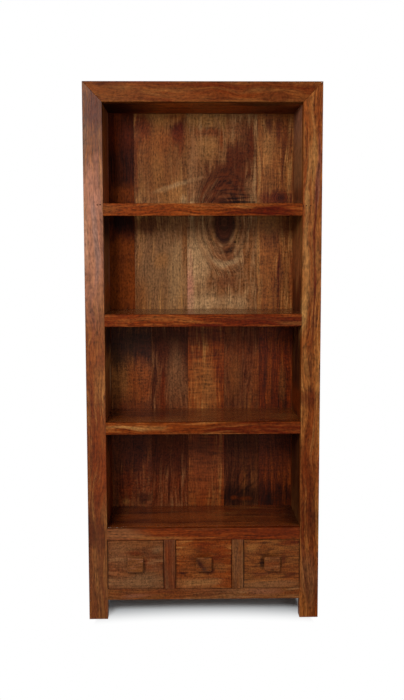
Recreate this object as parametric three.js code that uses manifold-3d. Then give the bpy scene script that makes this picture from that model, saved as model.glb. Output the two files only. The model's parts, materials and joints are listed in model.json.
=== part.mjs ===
// Bookcase with four open compartments over a row of three drawers, in dark stained hardwood.
// Lengths are millimetres. X runs to the right, Y from the front to the back, Z up.
// Pieces are placed with the case's front face at Y zero. The last lines move the whole
// bookcase, so that the origin is the centre of its base, knobs included.

import * as THREE from 'three';
import { mergeVertices } from 'three/addons/utils/BufferGeometryUtils.js';
import Module from 'manifold-3d';

const wasm = await Module();
wasm.setup();

// Case
const caseWidth = 780;
const caseDepth = 310;
const stileWidth = 63;
const postDepth = 40;
const legClearance = 67;
const bottomRailHeight = 37;
const drawerOpeningHeight = 171;
const drawerRailHeight = 40;
const shelfEdgeHeight = 40;
const lowestCompartmentHeight = 323;
const lowerCompartmentHeight = 322;
const upperCompartmentHeight = 324;
const topCompartmentHeight = 325;
const topRailHeight = 65;
const frontRailDepth = 22;

// Boards
const shelfThickness = 22;
const bottomBoardThickness = 16;
const ceilingThickness = 14;
const topBoardThickness = 16;
const topLedge = 12;

// Sides
const liningThickness = 14;
const housingDepth = 7;
const panelThickness = 12;
const panelSetback = 4;
const sideRailHeight = 60;

// Back
const plankThickness = 12;
const plankHousing = 10;
const plankTongueLength = 5;
const backLip = 8;
const upperSeamShares = [0.136, 0.422, 0.803];
const lowerSeamShares = [0.223, 0.424, 0.625, 0.818];

// Joints
const gap = 0.3;
const tenonLength = 14;
const tenonShoulder = 6;
const tongueLength = 8;
const mitreTongueDepth = 10;
const mitreTongueThickness = 8;
const mitreTongueShares = [0.25, 0.75];
const tenonShares = [0.2, 0.53];
const tongueThicknessShare = 0.34;
const boardTongueShare = 0.3;
const overrun = 5;

// Drawer row
const dividerWidth = 39;
const dividerTenonLength = 10;
const guideHeight = 30;
const guideLip = 1;

// Drawers
const drawerReveal = 2;
const drawerFrontThickness = 20;
const drawerSideThickness = 12;
const drawerBackThickness = 12;
const drawerBackInset = 6;
const drawerBackHousing = 4;
const drawerBottomThickness = 5;
const drawerGrooveDepth = 6;
const drawerGrooveRise = 8;
const runningGap = 0.3;
const stopGap = 0.5;
const kickerGap = 5;
const frontLap = 6;
const dovetailMargin = 5;
const dovetailCount = 4;
const dovetailWidthShare = 0.7;
const dovetailSlopeShare = 0.14;

// Knobs
const knobWidth = 54;
const knobHeight = 50;
const knobProjection = 26;
const knobNeck = 32;
const knobEdge = 5;
const knobDomeDepth = 4;
const knobDomeInset = 6;
const knobCornerRadius = 6;
const knobRise = 6;
const knobCoveSteps = 6;
const knobDomeSteps = 4;
const knobCornerSteps = 4;
const dowelRadius = 6;
const dowelLength = 14;
const dowelSides = 20;

// Stain colours
const stain = {
  post: 0x8a4a22,
  edge: 0x9a5424,
  board: 0x6e3a1c,
  side: 0x6a3a20,
  back: 0x8c5228,
  front: 0x94552a,
  box: 0xa9743f,
  knob: 0x9c5f33,
};

// Levels and planes that several pieces share
const outer = caseWidth / 2;
const inner = outer - stileWidth;
const drawerFloor = legClearance + bottomRailHeight;
const drawerCeiling = drawerFloor + drawerOpeningHeight;
const deckTop = drawerCeiling + drawerRailHeight;
const shelfThreeTop = deckTop + lowestCompartmentHeight + shelfEdgeHeight;
const shelfTwoTop = shelfThreeTop + lowerCompartmentHeight + shelfEdgeHeight;
const shelfOneTop = shelfTwoTop + upperCompartmentHeight + shelfEdgeHeight;
const ceilingLevel = shelfOneTop + topCompartmentHeight;
const caseHeight = ceilingLevel + topRailHeight;
const backPostFront = caseDepth - postDepth;
const plankFace = caseDepth - backLip - plankThickness;
const plankMeetingLevel = shelfTwoTop - shelfThickness / 2;
const panelCentre = outer - panelSetback - panelThickness / 2;
const lowerSideRailTop = legClearance + sideRailHeight;
const openingWidth = (2 * inner - 2 * dividerWidth) / 3;
const dividerCentre = (openingWidth + dividerWidth) / 2;
const sides = [['left', -1], ['right', 1]];

// Each platform is a board with an edge along its front, tenoned into the posts
const platforms = [
  {
    board: 'bottom_board',
    edge: 'bottom_rail',
    top: drawerFloor,
    height: bottomRailHeight,
    thickness: bottomBoardThickness,
    back: backPostFront,
  },
  {
    board: 'deck_board',
    edge: 'drawer_rail',
    top: deckTop,
    height: drawerRailHeight,
    thickness: shelfThickness,
    back: plankFace,
  },
  ...[shelfOneTop, shelfTwoTop, shelfThreeTop].map((top, index) => ({
    board: `shelf_board_${index + 1}`,
    edge: `shelf_edge_${index + 1}`,
    top,
    height: shelfEdgeHeight,
    thickness: shelfThickness,
    back: plankFace,
  })),
].map((platform) => ({ ...platform, front: frontRailDepth }));

// The ceiling board closes the top compartment behind the top rail
const ceilingBoard = {
  top: ceilingLevel + ceilingThickness,
  thickness: ceilingThickness,
  front: postDepth,
  back: backPostFront,
};

// The side rails join the front and back posts of one side
const sideRails = [
  {
    name: 'side_rail_lower',
    zs: [legClearance, lowerSideRailTop],
    tenonZs: [legClearance + tenonShoulder, lowerSideRailTop - tongueLength - tenonShoulder],
  },
  {
    name: 'side_rail_upper',
    zs: [ceilingLevel, caseHeight],
    tenonZs: [ceilingLevel + tongueLength + tenonShoulder, ceilingLevel + topRailHeight / 2],
  },
];

// The back rails hold the ends of the back planks
const backRails = [
  {
    name: 'back_rail_lower',
    zs: [legClearance, drawerFloor],
    tenonZs: [legClearance + tenonShoulder, drawerFloor - plankHousing - tenonShoulder],
  },
  {
    name: 'back_rail_upper',
    zs: [ceilingLevel, caseHeight],
    tenonZs: [ceilingLevel + plankHousing + tenonShoulder, caseHeight - tenonShoulder],
  },
];

// Ranges

function grown([from, to], by) {
  return [from - by, to + by];
}

function centred(centre, size) {
  return [centre - size / 2, centre + size / 2];
}

function onSide(side, [near, far]) {
  return side < 0 ? [-far, -near] : [near, far];
}

// Solids

function solidOf(geometry) {
  geometry.deleteAttribute('normal');
  geometry.deleteAttribute('uv');
  const welded = mergeVertices(geometry);
  const mesh = new wasm.Mesh({
    numProp: 3,
    vertProperties: Float32Array.from(welded.attributes.position.array),
    triVerts: Uint32Array.from(welded.index.array),
  });
  return new wasm.Manifold(mesh);
}

function geometryOf(solid) {
  const { vertProperties, triVerts } = solid.getMesh();
  const shared = new THREE.BufferGeometry();
  shared.setAttribute('position', new THREE.BufferAttribute(vertProperties, 3));
  shared.setIndex(new THREE.BufferAttribute(triVerts, 1));
  const faceted = shared.toNonIndexed();
  faceted.computeVertexNormals();
  return faceted;
}

function block(xs, ys, zs) {
  const geometry = new THREE.BoxGeometry(xs[1] - xs[0], ys[1] - ys[0], zs[1] - zs[0]);
  geometry.translate((xs[0] + xs[1]) / 2, (ys[0] + ys[1]) / 2, (zs[0] + zs[1]) / 2);
  return solidOf(geometry);
}

function extruded(points, length, placement) {
  const shape = new THREE.Shape(points.map(([u, v]) => new THREE.Vector2(u, v)));
  const geometry = new THREE.ExtrudeGeometry(shape, { depth: length, bevelEnabled: false });
  geometry.applyMatrix4(placement);
  return solidOf(geometry);
}

// An outline of [x, z] points, extruded from front to back
function alongY(points, [from, to]) {
  const placement = new THREE.Matrix4().makeBasis(
    new THREE.Vector3(1, 0, 0),
    new THREE.Vector3(0, 0, 1),
    new THREE.Vector3(0, -1, 0),
  );
  placement.setPosition(0, to, 0);
  return extruded(points, to - from, placement);
}

// An outline of [y, z] points, extruded from left to right
function alongX(points, [from, to]) {
  const placement = new THREE.Matrix4().makeBasis(
    new THREE.Vector3(0, 1, 0),
    new THREE.Vector3(0, 0, 1),
    new THREE.Vector3(1, 0, 0),
  );
  placement.setPosition(from, 0, 0);
  return extruded(points, to - from, placement);
}

function joined(solids) {
  return solids.reduce((whole, next) => whole.add(next));
}

function cut(solid, tools) {
  return tools.reduce((rest, tool) => rest.subtract(tool), solid);
}

// Joints: each function gives the part that enters, or with a clearance the recess for it

function edgeTenon(side, platform, clearance) {
  const xs = [inner - tenonLength, inner + tenonLength + clearance];
  const ys = tenonShares.map((share) => share * frontRailDepth);
  const zs = [platform.top - platform.height + tenonShoulder, platform.top - tenonShoulder];
  return block(onSide(side, xs), grown(ys, clearance), grown(zs, clearance));
}

function backRailTenon(side, rail, clearance) {
  const xs = [inner - tenonLength, inner + tenonLength + clearance];
  const ys = centred(backPostFront + postDepth / 2, postDepth * tongueThicknessShare);
  return block(onSide(side, xs), grown(ys, clearance), grown(rail.tenonZs, clearance));
}

function sideRailTenons(side, rail, clearance) {
  const xs = centred(panelCentre, panelThickness * (1 - tongueThicknessShare));
  const ys = [postDepth - tenonLength, backPostFront + tenonLength];
  return block(onSide(side, grown(xs, clearance)), grown(ys, clearance), grown(rail.tenonZs, clearance));
}

function liningTongue(side, clearance) {
  const xs = centred(inner + liningThickness / 2, liningThickness * tongueThicknessShare);
  const ys = [postDepth - tongueLength, backPostFront + tongueLength];
  const zs = [legClearance + tenonShoulder, ceilingLevel - tenonShoulder];
  return block(onSide(side, grown(xs, clearance)), grown(ys, clearance), grown(zs, clearance));
}

function panelTongue(side, clearance) {
  const xs = centred(panelCentre, panelThickness * tongueThicknessShare);
  const ys = [postDepth - tongueLength, backPostFront + tongueLength];
  const zs = [lowerSideRailTop - tongueLength, ceilingLevel + tongueLength];
  return block(onSide(side, grown(xs, clearance)), grown(ys, clearance), grown(zs, clearance));
}

function plankField(clearance) {
  const xs = [-inner - plankHousing, inner + plankHousing];
  const ys = [plankFace, plankFace + plankThickness];
  const zs = [drawerFloor - plankHousing, ceilingLevel + plankHousing];
  return block(grown(xs, clearance), grown(ys, clearance), grown(zs, clearance));
}

function boardEars(board, clearance) {
  const xs = [-inner - housingDepth + gap, inner + housingDepth - gap];
  const ys = [postDepth + gap, backPostFront - gap];
  const zs = [board.top - board.thickness, board.top];
  return block(grown(xs, clearance), grown(ys, clearance), grown(zs, clearance));
}

function boardTongue(board, clearance) {
  const length = board.front * boardTongueShare;
  const xs = [gap - inner, inner - gap];
  const ys = [board.front - length, board.front + length];
  const zs = centred(board.top - board.thickness / 2, board.thickness * tongueThicknessShare);
  return block(grown(xs, clearance), grown(ys, clearance), grown(zs, clearance));
}

function topBoardSeat(clearance) {
  const reach = inner + liningThickness + topLedge;
  const ys = [postDepth - topLedge, backPostFront - gap];
  const zs = [caseHeight - topBoardThickness, caseHeight];
  return block(grown([-reach, reach], clearance), grown(ys, clearance), grown(zs, clearance));
}

function dividerTenons(side, clearance) {
  const xs = centred(side * dividerCentre, dividerWidth - 2 * tenonShoulder);
  const ys = tenonShares.map((share) => share * frontRailDepth);
  const zs = [drawerFloor - dividerTenonLength, drawerCeiling + dividerTenonLength];
  return block(grown(xs, clearance), grown(ys, clearance), grown(zs, clearance));
}

// A point by the mitre: along runs from the inner corner outwards, across towards the rail
function mitrePoint(side, along, across) {
  const run = new THREE.Vector2(stileWidth, topRailHeight).normalize();
  const x = inner + run.x * along - run.y * across;
  const z = ceilingLevel + run.y * along + run.x * across;
  return [side * x, z];
}

function mitreTongue(side, clearance) {
  const mitreLength = Math.hypot(stileWidth, topRailHeight);
  const [low, high] = grown(mitreTongueShares.map((share) => share * mitreLength), clearance);
  const [root, tip] = grown([-mitreTongueDepth, mitreTongueDepth], clearance);
  const corners = [
    mitrePoint(side, low, root),
    mitrePoint(side, high, root),
    mitrePoint(side, high, tip),
    mitrePoint(side, low, tip),
  ];
  return alongY(corners, grown(centred(postDepth / 2, mitreTongueThickness), clearance));
}

// Frame of the case

function frontPost(side) {
  const mitreDrop = (gap / 2) * Math.hypot(stileWidth, topRailHeight) / stileWidth;
  const outline = [
    [side * outer, 0],
    [side * outer, caseHeight - mitreDrop],
    [side * inner, ceilingLevel - mitreDrop],
    [side * inner, 0],
  ];
  const post = alongY(outline, [0, postDepth]).add(mitreTongue(side, 0));
  return cut(post, [
    ...platforms.map((platform) => edgeTenon(side, platform, gap)),
    ...sideRails.map((rail) => sideRailTenons(side, rail, gap)),
    liningTongue(side, gap),
    panelTongue(side, gap),
  ]);
}

function backPost(side) {
  const post = block(onSide(side, [inner, outer]), [backPostFront, caseDepth], [0, caseHeight]);
  return cut(post, [
    ...backRails.map((rail) => backRailTenon(side, rail, gap)),
    ...sideRails.map((rail) => sideRailTenons(side, rail, gap)),
    liningTongue(side, gap),
    panelTongue(side, gap),
    plankField(gap),
  ]);
}

function topRail() {
  const mitreShift = (gap / 2) * Math.hypot(stileWidth, topRailHeight) / topRailHeight;
  const outline = [
    [mitreShift - inner, ceilingLevel],
    [inner - mitreShift, ceilingLevel],
    [outer - mitreShift, caseHeight],
    [mitreShift - outer, caseHeight],
  ];
  return cut(alongY(outline, [0, postDepth]), [
    mitreTongue(-1, gap),
    mitreTongue(1, gap),
    boardTongue(ceilingBoard, gap),
    topBoardSeat(gap),
  ]);
}

function backRail(rail) {
  const bar = block([gap - inner, inner - gap], [backPostFront, caseDepth], rail.zs);
  const tenons = sides.map(([, side]) => backRailTenon(side, rail, 0));
  return cut(joined([bar, ...tenons]), [plankField(gap)]);
}

function sideRail(side, rail) {
  const xs = [inner + liningThickness + gap, outer];
  const ys = [postDepth + gap, backPostFront - gap];
  const bar = block(onSide(side, xs), ys, rail.zs);
  return cut(bar.add(sideRailTenons(side, rail, 0)), [panelTongue(side, gap), topBoardSeat(gap)]);
}

function sidePanel(side) {
  const xs = centred(panelCentre, panelThickness);
  const ys = [postDepth + gap, backPostFront - gap];
  const zs = [lowerSideRailTop + gap, ceilingLevel - gap];
  return block(onSide(side, xs), ys, zs).add(panelTongue(side, 0));
}

function sideLining(side) {
  const xs = [inner, inner + liningThickness];
  const ys = [postDepth + gap, backPostFront - gap];
  const zs = [legClearance, caseHeight - topBoardThickness - gap];
  const lining = block(onSide(side, xs), ys, zs).add(liningTongue(side, 0));
  return cut(lining, [...platforms, ceilingBoard].map((board) => boardEars(board, gap)));
}

// Boards and their edges

function platformEdge(platform) {
  const zs = [platform.top - platform.height, platform.top];
  const bar = block([gap - inner, inner - gap], [0, platform.front], zs);
  const tenons = sides.map(([, side]) => edgeTenon(side, platform, 0));
  const mortises = sides.map(([, side]) => dividerTenons(side, gap));
  return cut(joined([bar, ...tenons]), [boardTongue(platform, gap), ...mortises]);
}

function fittedBoard(board) {
  const zs = [board.top - board.thickness, board.top];
  const field = block([gap - inner, inner - gap], [board.front + gap, board.back - gap], zs);
  return joined([field, boardEars(board, 0), boardTongue(board, 0)]);
}

// Back planks, tongued and grooved, in one field below the second shelf and one above it

function plankSeams(shares) {
  const ends = inner + plankHousing;
  return [-ends, ...shares.map((share) => 2 * inner * share - inner), ends];
}

function seamTongue(seam, zs, clearance) {
  const xs = [seam - plankTongueLength, seam + plankTongueLength];
  const ys = centred(plankFace + plankThickness / 2, plankThickness * tongueThicknessShare);
  return block(grown(xs, clearance), grown(ys, clearance), grown(zs, clearance));
}

function backPlanks(shares, zs) {
  const seams = plankSeams(shares);
  return seams.slice(1).map((right, index) => {
    const left = seams[index];
    const ys = [plankFace, plankFace + plankThickness];
    const plank = block(grown([left, right], -gap / 2), ys, zs);
    const tongued = right < inner ? plank.add(seamTongue(right, zs, 0)) : plank;
    return left > -inner ? tongued.subtract(seamTongue(left, zs, gap)) : tongued;
  });
}

// Drawer row

function divider(side) {
  const xs = centred(side * dividerCentre, dividerWidth);
  const muntin = block(xs, [0, frontRailDepth], [drawerFloor + gap, drawerCeiling - gap]);
  return muntin.add(dividerTenons(side, 0));
}

function drawerGuide(side) {
  const xs = centred(side * dividerCentre, dividerWidth + 2 * guideLip);
  const zs = [drawerFloor + gap, drawerFloor + gap + guideHeight];
  return block(xs, [frontRailDepth + gap, plankFace - gap], zs);
}

function kicker(side) {
  const reach = dividerWidth + 2 * drawerReveal + 2 * drawerSideThickness;
  const zs = [drawerCeiling, deckTop - shelfThickness - gap];
  return block(centred(side * dividerCentre, reach), [frontRailDepth + gap, plankFace - gap], zs);
}

// Drawers, in places of their own with X zero at the middle of the opening

const drawerHalfWidth = openingWidth / 2 - drawerReveal;
const drawerInnerHalf = drawerHalfWidth - drawerSideThickness;
const frontZs = [drawerFloor + drawerReveal, drawerCeiling - drawerReveal];
const drawerSideZs = [drawerFloor + runningGap, drawerCeiling - kickerGap];
const drawerEnd = plankFace - stopGap;
const bottomZs = [
  drawerSideZs[0] + drawerGrooveRise,
  drawerSideZs[0] + drawerGrooveRise + drawerBottomThickness,
];
const drawerBackYs = [drawerEnd - drawerBackInset - drawerBackThickness, drawerEnd - drawerBackInset];
const knobCentre = (frontZs[0] + frontZs[1]) / 2 + knobRise;

function dovetailCentres() {
  const low = frontZs[0] + dovetailMargin;
  const pitch = (drawerSideZs[1] - dovetailMargin - low) / dovetailCount;
  return Array.from({ length: dovetailCount }, (_, index) => low + pitch * (index + 0.5));
}

// A tail narrows from its tip, next to the front's lap, to its root
function dovetailHalfHeight(y) {
  const pitch = (drawerSideZs[1] - frontZs[0] - 2 * dovetailMargin) / dovetailCount;
  return (pitch * dovetailWidthShare) / 2 - (y - frontLap) * dovetailSlopeShare;
}

function dovetailOutline(centre, tip, root, clearance) {
  const wide = dovetailHalfHeight(tip) + clearance;
  const narrow = dovetailHalfHeight(root) + clearance;
  return [
    [root, centre - narrow],
    [tip, centre - wide],
    [tip, centre + wide],
    [root, centre + narrow],
  ];
}

function drawerSide(side) {
  const root = drawerFrontThickness + gap;
  const tails = dovetailCentres().flatMap((centre) => dovetailOutline(centre, frontLap + gap, root, 0));
  const [bottom, top] = drawerSideZs;
  const outline = [[drawerEnd, bottom], [root, bottom], ...tails, [root, top], [drawerEnd, top]];
  const blank = alongX(outline, onSide(side, [drawerInnerHalf, drawerHalfWidth]));
  return cut(blank, [drawerBottomField(gap), drawerBackField(gap)]);
}

function drawerFront() {
  const panel = block([-drawerHalfWidth, drawerHalfWidth], [0, drawerFrontThickness], frontZs);
  const sockets = sides.flatMap(([, side]) => dovetailSockets(side));
  return cut(panel, [...sockets, drawerBottomField(gap), knobDowel(gap)]);
}

function dovetailSockets(side) {
  const xs = onSide(side, [drawerInnerHalf - gap, drawerHalfWidth + overrun]);
  const root = drawerFrontThickness + overrun;
  return dovetailCentres().map((centre) => alongX(dovetailOutline(centre, frontLap, root, gap), xs));
}

function drawerBottomField(clearance) {
  const reach = drawerInnerHalf + drawerGrooveDepth - gap;
  const ys = [drawerFrontThickness - drawerGrooveDepth + gap, drawerEnd - drawerBackInset];
  const entry = clearance > 0 ? ys[1] + drawerBackInset + overrun : ys[1];
  return block(
    grown([-reach, reach], clearance),
    [ys[0] - clearance, entry],
    grown(bottomZs, clearance),
  );
}

function drawerBackField(clearance) {
  const reach = drawerInnerHalf + drawerBackHousing - gap;
  const top = clearance > 0 ? drawerSideZs[1] + overrun : drawerSideZs[1];
  const zs = [bottomZs[1] + gap - clearance, top];
  return block(grown([-reach, reach], clearance), grown(drawerBackYs, clearance), zs);
}

// Knob: a square block on a coved neck, with a pillowed face and a dowel into the front

function squareRing(inset, y) {
  const width = knobWidth / 2 - inset;
  const height = knobHeight / 2 - inset;
  const radius = Math.min(knobCornerRadius, width / 2, height / 2);
  const points = [];
  for (let corner = 0; corner < 4; corner += 1) {
    for (let step = 0; step <= knobCornerSteps; step += 1) {
      const angle = (corner + step / knobCornerSteps) * (Math.PI / 2);
      const signX = corner === 0 || corner === 3 ? 1 : -1;
      const signZ = corner < 2 ? 1 : -1;
      const x = signX * (width - radius) + radius * Math.cos(angle);
      const z = knobCentre + signZ * (height - radius) + radius * Math.sin(angle);
      points.push(new THREE.Vector3(x, y, z));
    }
  }
  return points;
}

function knobRings() {
  const coveInset = (knobWidth - knobNeck) / 2;
  const coveDepth = knobProjection - knobEdge - knobDomeDepth - gap;
  const rings = [];
  for (let step = 0; step <= knobCoveSteps; step += 1) {
    const angle = (step / knobCoveSteps) * (Math.PI / 2);
    rings.push(squareRing(coveInset * Math.cos(angle), -gap - coveDepth * Math.sin(angle)));
  }
  for (let step = 0; step <= knobDomeSteps; step += 1) {
    const angle = (step / knobDomeSteps) * (Math.PI / 2);
    const y = -gap - coveDepth - knobEdge - knobDomeDepth * Math.sin(angle);
    rings.push(squareRing(knobDomeInset * (1 - Math.cos(angle)), y));
  }
  return rings;
}

// Rings of equal length become one closed skin, with a fan of triangles over each end
function lofted(rings) {
  const count = rings[0].length;
  const last = (rings.length - 1) * count;
  const faces = [];
  for (let ring = 0; ring < rings.length - 1; ring += 1) {
    for (let index = 0; index < count; index += 1) {
      const here = ring * count + index;
      const next = ring * count + ((index + 1) % count);
      faces.push(here, next, next + count, here, next + count, here + count);
    }
  }
  for (let index = 1; index < count - 1; index += 1) {
    faces.push(0, index + 1, index);
    faces.push(last, last + index, last + index + 1);
  }
  const geometry = new THREE.BufferGeometry().setFromPoints(rings.flat());
  geometry.setIndex(faces);
  return solidOf(geometry);
}

function knobDowel(clearance) {
  const radius = dowelRadius + clearance;
  const length = dowelLength + overrun + clearance;
  const geometry = new THREE.CylinderGeometry(radius, radius, length, dowelSides);
  geometry.translate(0, length / 2 - overrun, knobCentre);
  return solidOf(geometry);
}

function knob() {
  return lofted(knobRings()).add(knobDowel(0));
}

// Assembly

function piece(name, solid, colour) {
  const material = new THREE.MeshStandardMaterial({ color: colour, roughness: 0.4, metalness: 0 });
  const mesh = new THREE.Mesh(geometryOf(solid), material);
  mesh.name = name;
  return mesh;
}

function sidePieces(label, side) {
  return [
    piece(`front_post_${label}`, frontPost(side), stain.post),
    piece(`back_post_${label}`, backPost(side), stain.post),
    ...sideRails.map((rail) => piece(`${rail.name}_${label}`, sideRail(side, rail), stain.side)),
    piece(`side_panel_${label}`, sidePanel(side), stain.side),
    piece(`side_lining_${label}`, sideLining(side), stain.side),
    piece(`divider_${label}`, divider(side), stain.edge),
    piece(`drawer_guide_${label}`, drawerGuide(side), stain.box),
    piece(`kicker_${label}`, kicker(side), stain.box),
  ];
}

function backPieces() {
  const upperZs = [plankMeetingLevel + gap / 2, ceilingLevel + plankHousing];
  const lowerZs = [drawerFloor - plankHousing, plankMeetingLevel - gap / 2];
  const upper = backPlanks(upperSeamShares, upperZs);
  const lower = backPlanks(lowerSeamShares, lowerZs);
  return [
    ...upper.map((plank, index) => piece(`back_plank_upper_${index + 1}`, plank, stain.back)),
    ...lower.map((plank, index) => piece(`back_plank_lower_${index + 1}`, plank, stain.back)),
    ...backRails.map((rail) => piece(rail.name, backRail(rail), stain.side)),
  ];
}

function caseGroup() {
  const group = new THREE.Group();
  group.name = 'case';
  for (const [label, side] of sides) {
    group.add(...sidePieces(label, side));
  }
  for (const platform of platforms) {
    group.add(piece(platform.edge, platformEdge(platform), stain.edge));
    group.add(piece(platform.board, fittedBoard(platform), stain.board));
  }
  group.add(piece('top_rail', topRail(), stain.edge));
  group.add(piece('ceiling_board', fittedBoard(ceilingBoard), stain.board));
  group.add(piece('top_board', topBoardSeat(0), stain.board));
  group.add(...backPieces());
  return group;
}

function drawerGroup(label, position) {
  const group = new THREE.Group();
  group.name = `drawer_${label}`;
  group.position.x = position * (openingWidth + dividerWidth);
  group.add(piece(`${group.name}_front`, drawerFront(), stain.front));
  group.add(piece(`${group.name}_side_left`, drawerSide(-1), stain.box));
  group.add(piece(`${group.name}_side_right`, drawerSide(1), stain.box));
  group.add(piece(`${group.name}_back`, drawerBackField(0), stain.box));
  group.add(piece(`${group.name}_bottom`, drawerBottomField(0), stain.box));
  group.add(piece(`${group.name}_knob`, knob(), stain.knob));
  return group;
}

const bookcase = new THREE.Group();
bookcase.name = 'bookcase';
bookcase.add(caseGroup());
bookcase.add(drawerGroup('left', -1), drawerGroup('centre', 0), drawerGroup('right', 1));
bookcase.position.y = (knobProjection - caseDepth) / 2;

export default bookcase;
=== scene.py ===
"""Dresses the bookcase with bottom drawers: timber, eased edges, nails, brads, camera, lamps and floor."""

import json
import logging
import math
from collections.abc import Callable, Iterable
from dataclasses import dataclass, replace
from enum import Enum
from functools import partial
from typing import Any

import bmesh
import bpy
from bmesh.types import BMesh, BMVert
from bpy.types import Material, Node, NodeSocket, NodeTree, Object, World
from mathutils import Matrix, Vector

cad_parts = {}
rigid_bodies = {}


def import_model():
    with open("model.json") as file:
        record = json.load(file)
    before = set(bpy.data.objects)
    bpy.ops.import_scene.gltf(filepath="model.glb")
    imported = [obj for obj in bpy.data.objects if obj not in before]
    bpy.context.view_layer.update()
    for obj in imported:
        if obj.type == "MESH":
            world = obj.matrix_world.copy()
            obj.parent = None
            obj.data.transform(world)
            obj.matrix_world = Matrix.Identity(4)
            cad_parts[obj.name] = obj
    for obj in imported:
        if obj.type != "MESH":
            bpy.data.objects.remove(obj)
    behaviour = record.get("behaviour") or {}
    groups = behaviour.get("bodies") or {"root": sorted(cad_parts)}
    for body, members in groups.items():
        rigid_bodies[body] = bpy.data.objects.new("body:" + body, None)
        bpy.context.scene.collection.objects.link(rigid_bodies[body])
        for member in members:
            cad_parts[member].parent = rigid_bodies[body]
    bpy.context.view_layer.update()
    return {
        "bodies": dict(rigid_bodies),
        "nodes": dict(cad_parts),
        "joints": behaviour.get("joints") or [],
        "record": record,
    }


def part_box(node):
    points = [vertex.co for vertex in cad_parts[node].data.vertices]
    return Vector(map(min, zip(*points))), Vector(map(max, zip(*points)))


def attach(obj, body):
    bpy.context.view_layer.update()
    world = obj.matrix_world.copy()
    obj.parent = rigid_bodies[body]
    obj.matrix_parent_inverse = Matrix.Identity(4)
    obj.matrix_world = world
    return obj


log = logging.getLogger("bookcase")

MM = 0.001
PHOTO_HEIGHT = 700
# a half size in mm that no board reaches, for a mark that runs right through one
ENDLESS = 1e6
WHITE = (1, 1, 1, 1)
SMOOTH = {"interpolation_type": "SMOOTHSTEP"}
# a Mix node's sockets for A, B and the result, when it mixes colours and when it mixes vectors
MIX_COLOURS = (6, 7, 2)
MIX_VECTORS = (4, 5, 1)

Colour = tuple[float, float, float, float]
Triple = tuple[float, float, float]
Adder = Callable[..., Node]


def linear(shade: str) -> Colour:
    """Turns an sRGB hex colour to the linear colour that the shaders take.

    Args:
        shade: six hex digits.

    Returns:
        Red, green, blue and an alpha of one.
    """
    parts = [int(shade[at : at + 2], 16) / 255 for at in (0, 2, 4)]
    red, green, blue = (p / 12.92 if p <= 0.04045 else ((p + 0.055) / 1.055) ** 2.4 for p in parts)
    return red, green, blue, 1.0


class Tone(Enum):
    """The colours found in stained mango, from sapwood to heartwood, and in the raw wood, as sRGB hex.

    Some patches also use them to paint shade or light.
    """

    SAND = "a3845c"
    STRAW = "946636"
    HONEY = "8a582a"
    AMBER = "7d461c"
    TAN = "774e2e"
    DRIFT = "6b4a2e"
    ROSE = "a06850"
    MAUVE = "8e6656"
    EMBER = "9c420f"
    CLAY = "86543c"
    CHESTNUT = "72330c"
    COPPER = "672806"
    HAZEL = "683a18"
    WALNUT = "5c3018"
    RUSSET = "561c04"
    UMBER = "451a07"
    OXBLOOD = "420c02"
    BARK = "2e0e05"
    SLATE = "38251c"
    SOOT = "140402"
    FLAX = "b08d63"
    OAT = "c3a278"
    RAW = "8f6b45"

    @property
    def colour(self) -> Colour:
        """The linear colour."""
        return linear(self.value)


# the tones by their bare names, for the tables of boards below
(
    SAND, STRAW, HONEY, AMBER, TAN, DRIFT, ROSE, MAUVE, EMBER, CLAY, CHESTNUT, COPPER, HAZEL, WALNUT, RUSSET,
    UMBER, OXBLOOD, BARK, SLATE, SOOT, FLAX, OAT, RAW,
) = Tone


def add_node(tree: NodeTree, kind: str, *given: Any, **settings: Any) -> Node:
    """Adds one node with its settings and links.

    Args:
        tree: the node tree that gets it.
        kind: Blender's name for the node, where "ShaderNode" may be left out in front.
        given: what its inputs get in their order, or a dictionary of that by name or number: a plain value,
            the output that it is linked to, or a node whose first output it is linked to.
        settings: the node's own settings by name.

    Returns:
        The new node.
    """
    node = tree.nodes.new(kind if kind.startswith("Node") else "ShaderNode" + kind)
    for name, value in settings.items():
        setattr(node, name, value)
    for at, part in enumerate(given):
        for name, value in (part if isinstance(part, dict) else {at: part}).items():
            source = value.outputs[0] if isinstance(value, Node) else value
            if isinstance(source, NodeSocket):
                tree.links.new(source, node.inputs[name])
            else:
                node.inputs[name].default_value = source
    return node


def put(name: str, data: Any) -> Object:
    """Puts a new object in the scene.

    Args:
        name: its name.
        data: its mesh, lamp or camera.

    Returns:
        The object.
    """
    thing = bpy.data.objects.new(name, data)
    bpy.context.scene.collection.objects.link(thing)
    return thing


def put_mesh(name: str, mesh: BMesh, material: Material) -> Object:
    """Turns a finished bmesh into an object in the scene.

    Args:
        name: the object's name.
        mesh: its shape, in metres, in the row frame. It is freed.
        material: its finish.

    Returns:
        The object.
    """
    data = bpy.data.meshes.new(name)
    mesh.to_mesh(data)
    mesh.free()
    data.materials.append(material)
    return put(name, data)


def start_nodes(owner: Material | World) -> Adder:
    """Clears the nodes of a material or world.

    Args:
        owner: the material or world.

    Returns:
        add_node for its tree.
    """
    owner.use_nodes = True
    owner.node_tree.nodes.clear()
    return partial(add_node, owner.node_tree)


def layered(
    add: Adder, colour: NodeSocket | Colour, layers: Iterable[tuple[Any, NodeSocket | Colour]]
) -> NodeSocket:
    """Lays tones over a colour, one after another.

    Args:
        add: add_node for the tree.
        colour: the colour underneath.
        layers: how much each tone covers, and its colour.

    Returns:
        The colour on top.
    """
    first, second, result = MIX_COLOURS
    for cover, tone in layers:
        mixed = {"Factor": cover, first: colour, second: tone}
        colour = add("Mix", mixed, data_type="RGBA").outputs[result]
    return colour


def summed(add: Adder, total: NodeSocket | float, *terms: tuple[Any, float]) -> NodeSocket:
    """Adds shares of values to a first value.

    Args:
        add: add_node for the tree.
        total: the first value.
        terms: each further value and its share.

    Returns:
        The sum.
    """
    for value, share in terms:
        total = add("Math", value, share, total, operation="MULTIPLY_ADD").outputs[0]
    return total


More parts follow.
